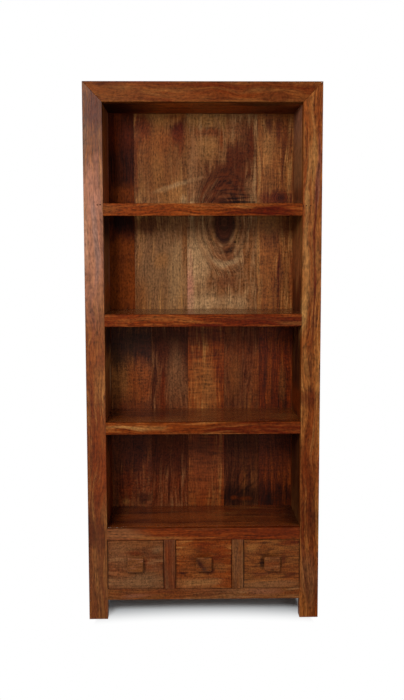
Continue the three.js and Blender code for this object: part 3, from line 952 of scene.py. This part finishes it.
# the rails and shelf edges of the front
RAILS = {
    "top_rail": Timber(
        HAZEL, AMBER, RUSSET, heart=(60, 160), wander=16, seed=5.5, vigour=0.85, sheen=0.02,
    ).clouded(
        (-170, 1762, 320, 60, RUSSET, 0.36), (-275, 1766, 60, 7, STRAW, 0.25),
        (-280, 1764, 90, 30, AMBER, 0.4), (-70, 1748, 70, 10, RUSSET, 0.5), (175, 1776, 34, 8, HONEY, 0.5),
        (285, 1776, 60, 12, RUSSET, 0.6), (-130, 1755, 130, 16, HONEY, 0.3),
        (-200, 1788, 200, 8, RUSSET, 0.7), (-330, 1785, 30, 14, UMBER, 0.6),
        (-300, 1776, 60, 20, UMBER, 0.55), (250, 1780, 120, 16, UMBER, 0.25),
        (60, 1745, 90, 6, UMBER, 0.5, 4.0), (120, 1782, 250, 10, RUSSET, 0.7),
        (150, 1755, 300, 12, COPPER, 0.5), (235, 1752, 90, 12, UMBER, 0.45), (345, 1775, 50, 22, RUSSET, 0.7),
    ),
    "bottom_rail": Timber(HAZEL, TAN, WALNUT, seed=11.2, heart=(60, 140), shortness=1.6).clouded(
        (-290, 88, 50, 12, CHESTNUT, 0.3), (-235, 84, 60, 9, CLAY, 0.45), (-60, 98, 80, 6, UMBER, 0.35),
        (40, 92, 90, 20, WALNUT, 0.6), (200, 92, 60, 16, CLAY, 0.35),
    ),
    "drawer_rail": Timber(COPPER, AMBER, RUSSET, seed=13.7, shortness=0.7).clouded(
        (-280, 296, 90, 30, TAN, 0.6), (-140, 282, 100, 9, HONEY, 0.5), (-60, 296, 60, 14, COPPER, 0.5),
        (200, 300, 150, 12, RUSSET, 0.65), (280, 290, 80, 30, RUSSET, 0.5),
    ),
    "shelf_edge_1": Timber(CHESTNUT, AMBER, COPPER, seed=17.3, wander=14, vigour=1.2, sheen=0.02).clouded(
        (-310, 1386, 40, 20, HAZEL, 0.5), (-60, 1398, 200, 5, HONEY, 0.3), (40, 1392, 40, 12, RUSSET, 0.4),
        (140, 1394, 34, 7, HONEY, 0.5), (255, 1386, 110, 30, RUSSET, 0.75),
        (225, 1392, 50, 10, OXBLOOD, 0.8, -6.0), (180, 1371, 110, 8, OXBLOOD, 0.8),
        (205, 1374, 50, 12, OXBLOOD, 0.8), (260, 1386, 60, 20, OXBLOOD, 0.6),
    ),
    "shelf_edge_2": Timber(COPPER, AMBER, RUSSET, seed=19.9, wander=14, vigour=1.2, sheen=0.03).clouded(
        (-310, 1010, 50, 16, RUSSET, 0.85), (-150, 1024, 90, 9, AMBER, 0.4),
        (60, 1030, 110, 6, OXBLOOD, 0.4, 5.0), (30, 1006, 70, 9, OXBLOOD, 0.85),
        (200, 1020, 190, 26, OXBLOOD, 0.75), (300, 1012, 60, 8, HAZEL, 0.6),
    ),
    "shelf_edge_3": Timber(CHESTNUT, HONEY, RUSSET, seed=23.4, wander=14, vigour=1.0, sheen=0.03).clouded(
        (-230, 667, 110, 8, STRAW, 0.8), (-170, 677, 60, 9, HONEY, 0.6), (-165, 663, 44, 9, COPPER, 0.85),
        (50, 662, 60, 18, RUSSET, 0.75), (70, 662, 70, 20, OXBLOOD, 0.35), (175, 670, 50, 7, AMBER, 0.5),
        (210, 660, 200, 26, OXBLOOD, 0.7), (120, 650, 60, 6, OXBLOOD, 0.6, 7.0),
        (230, 648, 60, 7, OXBLOOD, 0.6),
    ),
}
# the shelves and the deck, which are seen at a shallow angle: glossy, with broad calm figure
SHELF_LOOK = {"rough": 0.2, "sheen": 0.5, "breadth": 4.0, "fine": 0.25, "vigour": 1.5, "lines": 0.3}
# the boards that lie flat
PLATFORMS = {
    "shelf_board_1": Timber(WALNUT, HAZEL, UMBER, seed=37.2, **SHELF_LOOK),
    "shelf_board_2": Timber(HAZEL, TAN, WALNUT, seed=41.8, **SHELF_LOOK),
    "shelf_board_3": Timber(CHESTNUT, AMBER, UMBER, seed=43.3, **SHELF_LOOK),
    "deck_board": Timber(COPPER, AMBER, UMBER, seed=47.9, **SHELF_LOOK).clouded(
        # painted shadow: the near-black strips at both ends are the shadow of the posts
        (-335, 315, 60, 400, SOOT, 0.6), (330, 315, 60, 400, SOOT, 0.8),
        (-40, 315, 260, 60, EMBER, 0.45, 0.0, 10), (-40, 315, 260, 60, AMBER, 0.3, 0.0, 10),
        (100, 315, 220, 40, CHESTNUT, 0.5, 0.0, -50), (20, 315, 400, 50, HONEY, 0.4, 0.0, -125),
        (20, 315, 400, 50, EMBER, 0.5, 0.0, -125), (-60, 315, 280, 6, OXBLOOD, 0.8, 0.0, -72),
        (120, 315, 220, 5, OXBLOOD, 0.7, 0.0, -100), (240, 315, 130, 12, OXBLOOD, 0.5, 6.0, -120),
        (-20, 315, 200, 40, COPPER, 0.7, 0.0, 120), (-160, 315, 160, 14, BARK, 0.7, 0.0, 60),
        (150, 315, 160, 14, BARK, 0.5, 0.0, 20),
    ),
    "bottom_board": Timber(HAZEL, TAN, WALNUT, seed=53.5),
    "ceiling_board": Timber(
        COPPER, AMBER, BARK, seed=59.4, vigour=2.2, breadth=5.0, fine=0.4, lines=0.8,
    ).clouded(
        # painted shade: the near-black patch at the left end darkens the corner over the left wall
        (0, 1735, 330, 400, EMBER, 0.75), (-300, 1735, 130, 400, SOOT, 0.9),
        (-210, 1735, 70, 60, BARK, 0.5, 0.0, -90), (230, 1735, 70, 400, BARK, 0.45),
        (-60, 1735, 200, 8, BARK, 0.8, 0.0, 10), (80, 1735, 220, 10, SOOT, 0.8, 0.0, -60),
        (180, 1735, 120, 40, SOOT, 0.7, 0.0, -90),
    ),
    "top_board": Timber(CHESTNUT, AMBER, COPPER, seed=61.1),
}
# the planks of the back, from left to right in each field
PLANKS = {
    "back_plank_upper_1": Timber(BARK, UMBER, SOOT, seed=67.3, sheen=0.02).clouded(
        # painted shadow: the near-black patch at 1352 is the shadow under the top shelf
        (-282, 1130, 75, 150, CHESTNUT, 0.95), (-290, 1352, 80, 48, SOOT, 0.95),
        (-275, 1445, 60, 50, CHESTNUT, 0.9), (-290, 1262, 70, 44, CHESTNUT, 0.9),
        (-290, 1650, 60, 60, RUSSET, 0.5),
    ),
    "back_plank_upper_2": Timber(TAN, STRAW, HAZEL, HONEY, heart=(0, 220), seed=71.9, sheen=0.03).clouded(
        (-150, 1590, 140, 190, HAZEL, 0.95), (-150, 1600, 26, 150, HONEY, 0.5),
        (-84, 1668, 26, 44, OXBLOOD, 0.9), (-64, 1620, 9, 44, RUSSET, 0.6), (-208, 1690, 30, 60, RUSSET, 0.8),
        (-150, 1716, 90, 12, RUSSET, 0.6), (-135, 1705, 34, 22, HONEY, 0.7),
        (-130, 1640, 40, 50, CHESTNUT, 0.35), (-165, 1620, 90, 60, CHESTNUT, 0.3),
        # painted light: the straw and amber patches at 1725 lift the plank's top out of the ceiling's shade;
        # painted glare: the tilted sand streak at 1480; painted shadow: the umber patch at 1340 under the top
        # shelf; the drift patch at 1180 is the plank's grey tone and a painted haze of reflected light
        (-160, 1725, 50, 26, STRAW, 0.5), (-80, 1725, 26, 20, AMBER, 0.5), (-229, 1560, 9, 190, RUSSET, 0.6),
        (-85, 1480, 80, 10, SAND, 0.35, 17.0), (-90, 1440, 60, 34, HONEY, 0.5),
        (-60, 1425, 12, 26, SAND, 0.4), (-150, 1180, 90, 170, DRIFT, 0.75), (-200, 1340, 60, 34, UMBER, 0.7),
        (-80, 1340, 40, 60, TAN, 0.5), (-90, 1160, 34, 150, RAW, 0.6), (-218, 1080, 30, 80, HAZEL, 0.8),
        (-150, 1215, 26, 34, HONEY, 0.5), (-60, 1280, 12, 100, HAZEL, 0.6),
    ),
    "back_plank_upper_3": Timber(
        TAN, RAW, HAZEL, DRIFT, heart=(30, 260), seed=73.6, sheen=0.03, vigour=1.1, fine=1.0, shortness=1.3,
        ripple=0.3, lines=0.3, knots=(Knot(84, 1350, 50, 86, BARK, 0.85, FLAX, 0.45, 0.28),),
    ).clouded(
        # painted glare: the tilted sand streak at 1499; painted light: the straw patches near 1710 lift the
        # plank's top out of the ceiling's shade
        (70, 1590, 220, 170, HAZEL, 0.7), (-24, 1499, 40, 9, SAND, 0.35, 17.0), (0, 1712, 60, 34, STRAW, 0.7),
        (75, 1705, 16, 44, STRAW, 0.6), (-24, 1640, 20, 50, HAZEL, 0.7), (30, 1664, 50, 18, RUSSET, 0.65),
        (66, 1640, 12, 44, COPPER, 0.6), (-20, 1610, 16, 60, TAN, 0.6), (20, 1610, 34, 54, STRAW, 0.35),
        (130, 1680, 50, 34, WALNUT, 0.7), (175, 1610, 12, 85, RUSSET, 0.8), (160, 1600, 44, 80, UMBER, 0.85),
        (118, 1580, 54, 66, UMBER, 0.9), (102, 1515, 110, 66, UMBER, 0.9), (98, 1450, 140, 60, UMBER, 0.85),
        (40, 1425, 70, 16, UMBER, 0.8), (34, 1490, 50, 70, UMBER, 0.5), (140, 1421, 80, 5, SOOT, 0.9),
        (125, 1434, 70, 4, SOOT, 0.85, 3.0), (140, 1448, 60, 3, SOOT, 0.7, -4.0),
        (100, 1464, 60, 3, SOOT, 0.6, 4.0), (60, 1508, 44, 3, SOOT, 0.5, 5.0),
        (86, 1215, 70, 50, WALNUT, 0.6), (170, 1180, 34, 170, HAZEL, 0.45), (175, 1475, 18, 34, TAN, 0.6),
        (-24, 1510, 26, 90, TAN, 0.6), (42, 1320, 7, 50, STRAW, 0.5), (134, 1310, 7, 50, STRAW, 0.5),
        (76, 1345, 90, 60, UMBER, 0.5), (84, 1262, 50, 30, UMBER, 0.45), (-20, 1200, 44, 110, FLAX, 0.4),
        (-38, 1110, 26, 110, ROSE, 0.9), (0, 1060, 60, 60, FLAX, 0.4), (87, 1140, 50, 30, WALNUT, 0.65),
        (90, 1060, 90, 34, FLAX, 0.3),
    ),
    "back_plank_upper_4": Timber(
        AMBER, STRAW, WALNUT, heart=(-90, 240), seed=79.2, shortness=1.3, ripple=0.35,
        knots=(Knot(286, 1436, 15, 11, BARK, 0.8, arcs=0.5),),
    ).clouded(
        # painted light: the amber patch at 1725 lifts the plank's top out of the ceiling's shade
        (250, 1640, 80, 60, HAZEL, 0.6), (260, 1725, 80, 20, AMBER, 0.7), (204, 1520, 7, 150, STRAW, 0.7),
        (236, 1600, 24, 80, STRAW, 0.4), (240, 1480, 30, 60, HAZEL, 0.7), (240, 1690, 9, 40, OXBLOOD, 0.6),
        (272, 1665, 8, 40, OXBLOOD, 0.6), (300, 1640, 20, 60, RUSSET, 0.5), (230, 1440, 26, 34, RUSSET, 0.6),
        # painted light: the honey patch at 1345 lifts the shade under the top shelf
        (206, 1200, 8, 190, STRAW, 0.6), (240, 1190, 24, 150, AMBER, 0.7), (250, 1345, 60, 44, HONEY, 0.7),
        (300, 1340, 30, 44, OXBLOOD, 0.35), (255, 1432, 60, 28, RUSSET, 0.6),
        (290, 1432, 50, 34, OXBLOOD, 0.75), (276, 1150, 3, 170, OXBLOOD, 0.8),
        (300, 1150, 14, 110, HAZEL, 0.5),
    ),
    "back_plank_lower_1": Timber(
        WALNUT, HAZEL, RUSSET, seed=83.4, fine=1.25, ripple=0.45, shortness=1.6, lines=0.15,
    ).clouded(
        # painted light: the honey patch at 790 lifts the shade beside the left wall
        (-270, 770, 90, 100, CHESTNUT, 0.8), (-300, 790, 50, 100, HONEY, 0.6),
        # painted shade: the near-black band at 915 under the second shelf and the wide umber patch at 560
        # over the lower compartment
        (-260, 915, 200, 85, SOOT, 0.8), (-270, 560, 200, 150, UMBER, 0.9), (-235, 510, 50, 70, BARK, 0.6),
        (-285, 400, 50, 60, RUSSET, 0.6), (-240, 470, 90, 50, BARK, 0.6), (-215, 345, 26, 24, BARK, 0.8),
        (-285, 332, 14, 12, HONEY, 0.6),
    ),
    "back_plank_lower_2": Timber(WALNUT, TAN, UMBER, seed=89.7, fine=1.1, shortness=1.4, sheen=0.04).clouded(
        # painted shade: the wide bark patch at 910 under the second shelf, and the wide umber and bark
        # patches at 540 and 480 over the lower compartment
        (-120, 910, 200, 90, BARK, 0.8), (-120, 760, 200, 90, WALNUT, 0.5),
        (-120, 540, 200, 150, UMBER, 0.95), (-120, 370, 200, 70, RUSSET, 0.5),
        (-120, 480, 200, 60, BARK, 0.6), (-172, 760, 8, 420, BARK, 0.75), (-140, 800, 7, 24, SOOT, 0.85),
        (-148, 860, 5, 40, BARK, 0.7), (-140, 720, 10, 100, RUSSET, 0.7), (-120, 880, 80, 50, UMBER, 0.5),
        (-88, 810, 34, 120, DRIFT, 0.45), (-140, 730, 30, 90, RUSSET, 0.35), (-122, 400, 6, 100, BARK, 0.7),
        (-80, 360, 6, 40, SOOT, 0.6),
    ),
    "back_plank_lower_3": Timber(
        CHESTNUT, HONEY, RUSSET, seed=97.8, fine=0.85, ripple=0.65, lines=0.15,
    ).clouded(
        (0, 790, 44, 90, AMBER, 0.7), (-20, 875, 20, 22, RUSSET, 0.6), (20, 720, 30, 24, RUSSET, 0.5),
        # painted shade: the umber band at 950 under the second shelf and the umber patch at 500 over the
        # lower compartment
        (0, 950, 120, 40, UMBER, 0.6), (30, 750, 26, 90, HONEY, 0.4), (10, 540, 120, 110, RUSSET, 0.8),
        (0, 500, 120, 70, UMBER, 0.5), (0, 400, 90, 110, COPPER, 0.5), (0, 440, 120, 130, WALNUT, 0.4),
    ),
    "back_plank_lower_4": Timber(
        WALNUT, HAZEL, UMBER, seed=101.3, fine=0.95, ripple=0.3, shortness=1.4, sheen=0.04, lines=0.2,
    ).clouded(
        # painted shade: the wide bark patch at 520 and the near-black bands at 340 and 350 over the lower
        # compartment
        (120, 800, 34, 90, HAZEL, 0.5), (140, 520, 160, 170, BARK, 0.75), (140, 350, 90, 50, SOOT, 0.75),
        (140, 340, 90, 70, SOOT, 0.5), (100, 400, 6, 70, SOOT, 0.5), (112, 410, 5, 80, SOOT, 0.5, -7.0),
        (130, 405, 6, 80, SOOT, 0.5, -18.0), (148, 395, 5, 70, SOOT, 0.5, -32.0),
        (164, 378, 6, 60, SOOT, 0.5, -48.0), (124, 345, 14, 9, COPPER, 0.45),
        (160, 341, 20, 10, COPPER, 0.45),
    ),
    "back_plank_lower_5": Timber(
        RUSSET, CHESTNUT, BARK, seed=103.9, fine=1.2, ripple=0.35, shortness=1.6, lines=0.8,
    ).clouded(
        # painted shade: the wide umber patch at 520 and the near-black band at 350 over the lower compartment
        (240, 760, 12, 120, CHESTNUT, 0.5), (300, 760, 12, 90, HAZEL, 0.6), (270, 520, 160, 170, UMBER, 0.8),
        (270, 350, 160, 60, SOOT, 0.65), (250, 450, 4, 120, CHESTNUT, 0.5), (238, 338, 10, 24, SOOT, 0.8),
    ),
}
# the rails that hold the ends of the planks
BACK_RAILS = {
    "back_rail_lower": Timber(WALNUT, HAZEL, UMBER, seed=107.1),
    "back_rail_upper": Timber(CHESTNUT, AMBER, RUSSET, seed=109.5),
}
# the inner walls
LININGS = {
    "side_lining_left": Timber(
        COPPER, AMBER, OXBLOOD, seed=197.3, breadth=4.0, fine=0.6, shortness=0.4, ripple=0.3, vigour=1.7,
    ).clouded(
        # painted shade: the near-black bands at 1335, 950 and 615 under the shelves; painted light: the rose
        # and flax patches at y 120 on the shaded back half
        (0, 1300, 4000, 600, TAN, 0.55), (0, 1430, 4000, 60, CLAY, 0.8), (0, 1335, 4000, 66, SOOT, 0.9),
        (0, 1550, 60, 200, ROSE, 0.85, 0.0, 120), (0, 1180, 60, 110, ROSE, 0.85, 0.0, 120),
        (0, 840, 60, 110, FLAX, 0.95, 0.0, 120), (0, 1430, 60, 40, EMBER, 0.6, 0.0, 120),
        (0, 1440, 4000, 50, EMBER, 0.5), (0, 1560, 4000, 160, EMBER, 0.25), (0, 1100, 4000, 40, EMBER, 0.5),
        (0, 615, 4000, 60, SOOT, 0.75), (0, 950, 4000, 60, SOOT, 0.85), (0, 865, 4000, 26, HONEY, 0.9),
    ),
    "side_lining_right": Timber(
        HAZEL, STRAW, UMBER, seed=199.8, breadth=4.0, fine=0.6, shortness=0.4, ripple=0.3, vigour=1.7,
    ).clouded(
        # painted shade: the near-black band at 900 under the second shelf and the wide bark band at 640 over
        # the lower compartments
        (0, 1580, 4000, 190, CLAY, 0.8), (0, 1680, 4000, 80, ROSE, 0.6), (0, 1560, 4000, 120, HONEY, 0.4),
        (0, 1437, 4000, 34, RUSSET, 0.6), (0, 1190, 4000, 130, TAN, 0.9), (0, 1200, 4000, 130, EMBER, 0.35),
        (0, 1145, 90, 40, OXBLOOD, 0.7, 0.0, -110), (0, 1070, 4000, 90, OXBLOOD, 0.9),
        (0, 640, 4000, 400, BARK, 0.85), (0, 900, 4000, 70, SOOT, 0.5), (0, 730, 4000, 50, COPPER, 0.9),
    ),
}
# the drawer fronts by drawer
DRAWER_FRONTS = {
    "left": Timber(WALNUT, TAN, HAZEL, seed=211.4, heart=(60, 150), shortness=2.2).clouded(
        (-231, 262, 110, 16, HAZEL, 0.5), (-270, 220, 60, 50, TAN, 0.4), (-234, 224, 34, 11, RUSSET, 0.85),
        (-231, 222, 70, 14, WALNUT, 0.4), (-196, 195, 7, 14, RUSSET, 0.5), (-231, 165, 90, 9, HAZEL, 0.4),
        (-215, 134, 110, 34, DRIFT, 0.7), (-215, 128, 80, 16, TAN, 0.4), (-160, 235, 26, 16, DRIFT, 0.6),
    ),
    "centre": Timber(CHESTNUT, HONEY, COPPER, seed=227.5, heart=(40, 120), shortness=2.2).clouded(
        (-50, 235, 36, 26, AMBER, 0.6), (0, 205, 70, 60, UMBER, 0.5), (-20, 150, 80, 50, HAZEL, 0.5),
        (62, 250, 34, 26, COPPER, 0.85), (10, 262, 40, 8, RUSSET, 0.7), (45, 215, 40, 7, RUSSET, 0.6, -8.0),
        (22, 158, 26, 12, UMBER, 0.85, -20.0), (-72, 151, 18, 5, BARK, 0.85), (60, 170, 30, 20, HAZEL, 0.6),
        (-10, 122, 110, 22, TAN, 0.5), (-10, 124, 90, 12, STRAW, 0.3),
    ),
    "right": Timber(HAZEL, AMBER, UMBER, seed=233.9, heart=(70, 140), shortness=2.2).clouded(
        (165, 246, 30, 20, HONEY, 0.6), (290, 262, 34, 10, RUSSET, 0.7), (199, 197, 9, 22, SOOT, 0.8),
        (272, 203, 12, 20, UMBER, 0.85), (290, 150, 26, 12, UMBER, 0.7, -20.0),
        (200, 160, 40, 8, WALNUT, 0.6), (215, 118, 110, 20, TAN, 0.6),
    ),
}
# the knobs by drawer
KNOBS = {
    "left": Timber(HAZEL, CLAY, HAZEL, CLAY, seed=223.8, shortness=2.2),
    "centre": Timber(HAZEL, CHESTNUT, UMBER, seed=229.2, shortness=2.2).clouded(
        (-9, 193, 13, 42, BARK, 0.85, -30.0), (2, 176, 16, 9, SLATE, 0.6),
    ),
    "right": Timber(HAZEL, TAN, WALNUT, seed=239.7, shortness=2.2),
}


@dataclass
class FrontFrame(Joinery):
    """The mitred frame, the rails, the dividers, and the filled nail marks beside the top shelf."""

    mark: Stud = Stud(radius=2.3, proud=0.25)
    mark_places: tuple[tuple[float, float], ...] = (
        (-345.3, 1399.1), (-335.8, 1399.7), (338.3, 1396.0), (353.0, 1396.0),
    )

    def boards(self) -> Boards:
        """The frame's boards."""
        return {Lie.UPRIGHT_TO_FRONT: UPRIGHTS, Lie.LEVEL_TO_FRONT: RAILS}

    def build_marks(self) -> None:
        """Sets the dark filled nail marks, slightly proud of the posts."""
        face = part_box("front_post_left")[0].y
        wax = HARD_WAX.make()
        for number, (x, z) in enumerate(self.mark_places, start=1):
            mesh = bmesh.new()
            self.mark.add(mesh, Vector((x * MM, face, z * MM)), -1)
            self.add_piece(f"filled_nail_{number}", mesh, wax, "case", "post_wood")


@dataclass
class Platforms(Joinery):
    """The shelf boards, the deck, and the boards at the bottom and the top."""

    arris: float = 0.8

    def boards(self) -> Boards:
        """The boards that lie flat."""
        return {Lie.FLAT: PLATFORMS}


@dataclass
class PlankBack(Joinery):
    """The back of vertical planks, with the rails that hold their ends and the brads in the boards."""

    arris: float = 0.4
    brad: Stud = Stud(radius=1.3, proud=0.3, crown=0.6, sides=12)
    brad_inset: float = 20.0
    least_bite: float = 4.0
    carriers: tuple[str, ...] = ("shelf_board_1", "shelf_board_2", "shelf_board_3", "deck_board")

    def boards(self) -> Boards:
        """The planks and their rails."""
        return {Lie.UPRIGHT_TO_FRONT: PLANKS, Lie.LEVEL_TO_FRONT: BACK_RAILS}

    def build_brads(self) -> None:
        """Drives two brads through each plank into every board whose back edge it covers."""
        steel = BLUED_STEEL.make()
        planks = [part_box(name) for name in PLANKS]
        inset = Vector((self.brad_inset * MM, 0.0, 0.0))
        for carrier in self.carriers:
            low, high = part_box(carrier)
            mesh = bmesh.new()
            for foot, top in planks:
                bottom, ceiling = max(low.z, foot.z), min(high.z, top.z)
                if ceiling - bottom < self.least_bite * MM:
                    continue
                height = (bottom + ceiling) / 2
                left, right = (Vector((end.x, top.y, height)) for end in (foot, top))
                for place in (left + inset, right - inset):
                    self.brad.add(mesh, place, 1)
            self.add_piece(f"brads_{carrier}", mesh, steel, "case", "back_wood")


@dataclass
class HollowSides(Joinery):
    """The back posts, side panels, linings and side rails, with the guides and kickers for the drawers."""

    # each side's seed, to which every board adds a number of its own, so that no two look alike
    seeds: tuple[float, float] = (113.0, 153.0)

    def boards(self) -> Boards:
        """The boards of both sides. The linings and panels are upright, the rails and guides level.

        Returns:
            The boards by how they lie and by node name.
        """
        posts, sides, rails = {}, dict(LININGS), {}
        for hand, seed in zip(("left", "right"), self.seeds):
            posts[f"back_post_{hand}"] = Timber(CHESTNUT, AMBER, RUSSET, seed=seed)
            sides[f"side_panel_{hand}"] = Timber(CHESTNUT, AMBER, UMBER, heart=(40, 260), seed=seed + 3.3)
            rails[f"side_rail_lower_{hand}"] = Timber(WALNUT, HAZEL, UMBER, seed=seed + 7.7)
            rails[f"side_rail_upper_{hand}"] = Timber(CHESTNUT, AMBER, RUSSET, seed=seed + 9.1)
            rails[f"drawer_guide_{hand}"] = Timber(FLAX, OAT, RAW, SAND, seed=seed + 13.6, rough=0.6)
            rails[f"kicker_{hand}"] = Timber(FLAX, OAT, RAW, SAND, seed=seed + 17.2, rough=0.6)
        return {Lie.UPRIGHT_TO_FRONT: posts, Lie.UPRIGHT_TO_SIDE: sides, Lie.LEVEL_TO_SIDE: rails}


@dataclass
class Drawer(Joinery):
    """One drawer: its front, dovetailed box and square knob."""

    label: str = "left"
    # painted shade along the front's two ends, for the shadow in the gap round the drawer: its half width in
    # mm and its strength
    gap_shade_width: float = 4.0
    gap_shade_strength: float = 0.45
    # the labels differ in length, so that each drawer's raw boards get a seed of their own
    seed_step: float = 7.0

    def with_painted_gap_shade(self) -> Timber:
        """The front's timber, with painted shade along both ends for the shadow in the drawer's gap.

        Returns:
            The front's timber with one more patch at each end.
        """
        low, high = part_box(f"drawer_{self.label}_front")
        middle, reach = (low + high) / 2 / MM, (high.z - low.z) / 2 / MM
        ends = ((x / MM, middle.z, self.gap_shade_width, reach, SOOT, self.gap_shade_strength) for x in (low.x, high.x))
        return DRAWER_FRONTS[self.label].clouded(*ends)

    def boards(self) -> Boards:
        """The drawer's boards. Its box is of raw pale wood.

        Returns:
            The boards by how they lie and by node name.
        """
        name = f"drawer_{self.label}_"
        seed = len(self.label) * self.seed_step
        raw = Timber(FLAX, OAT, RAW, OAT, rough=0.6, lines=0.1, vigour=0.6, seed=seed)
        faces = {name + "front": self.with_painted_gap_shade(), name + "back": raw, name + "knob": KNOBS[self.label]}
        sides = {name + "side_left": raw, name + "side_right": raw}
        return {Lie.LEVEL_TO_FRONT: faces, Lie.LEVEL_TO_SIDE: sides, Lie.FLAT: {name + "bottom": raw}}


def main() -> None:
    """Builds the scene."""
    logging.basicConfig(level=logging.INFO, format="%(message)s")
    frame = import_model()
    bpy.context.scene.view_settings.view_transform = "Standard"
    Studio().build()
    shop, nodes = TimberShop(), frame["nodes"]
    front_frame = FrontFrame(shop, nodes)
    front_frame.dress()
    front_frame.build_marks()
    Platforms(shop, nodes).dress()
    back = PlankBack(shop, nodes)
    back.dress()
    back.build_brads()
    HollowSides(shop, nodes).dress()
    for label in DRAWER_FRONTS:
        Drawer(shop, nodes, label=label).dress()


if __name__ == "__main__":
    main()
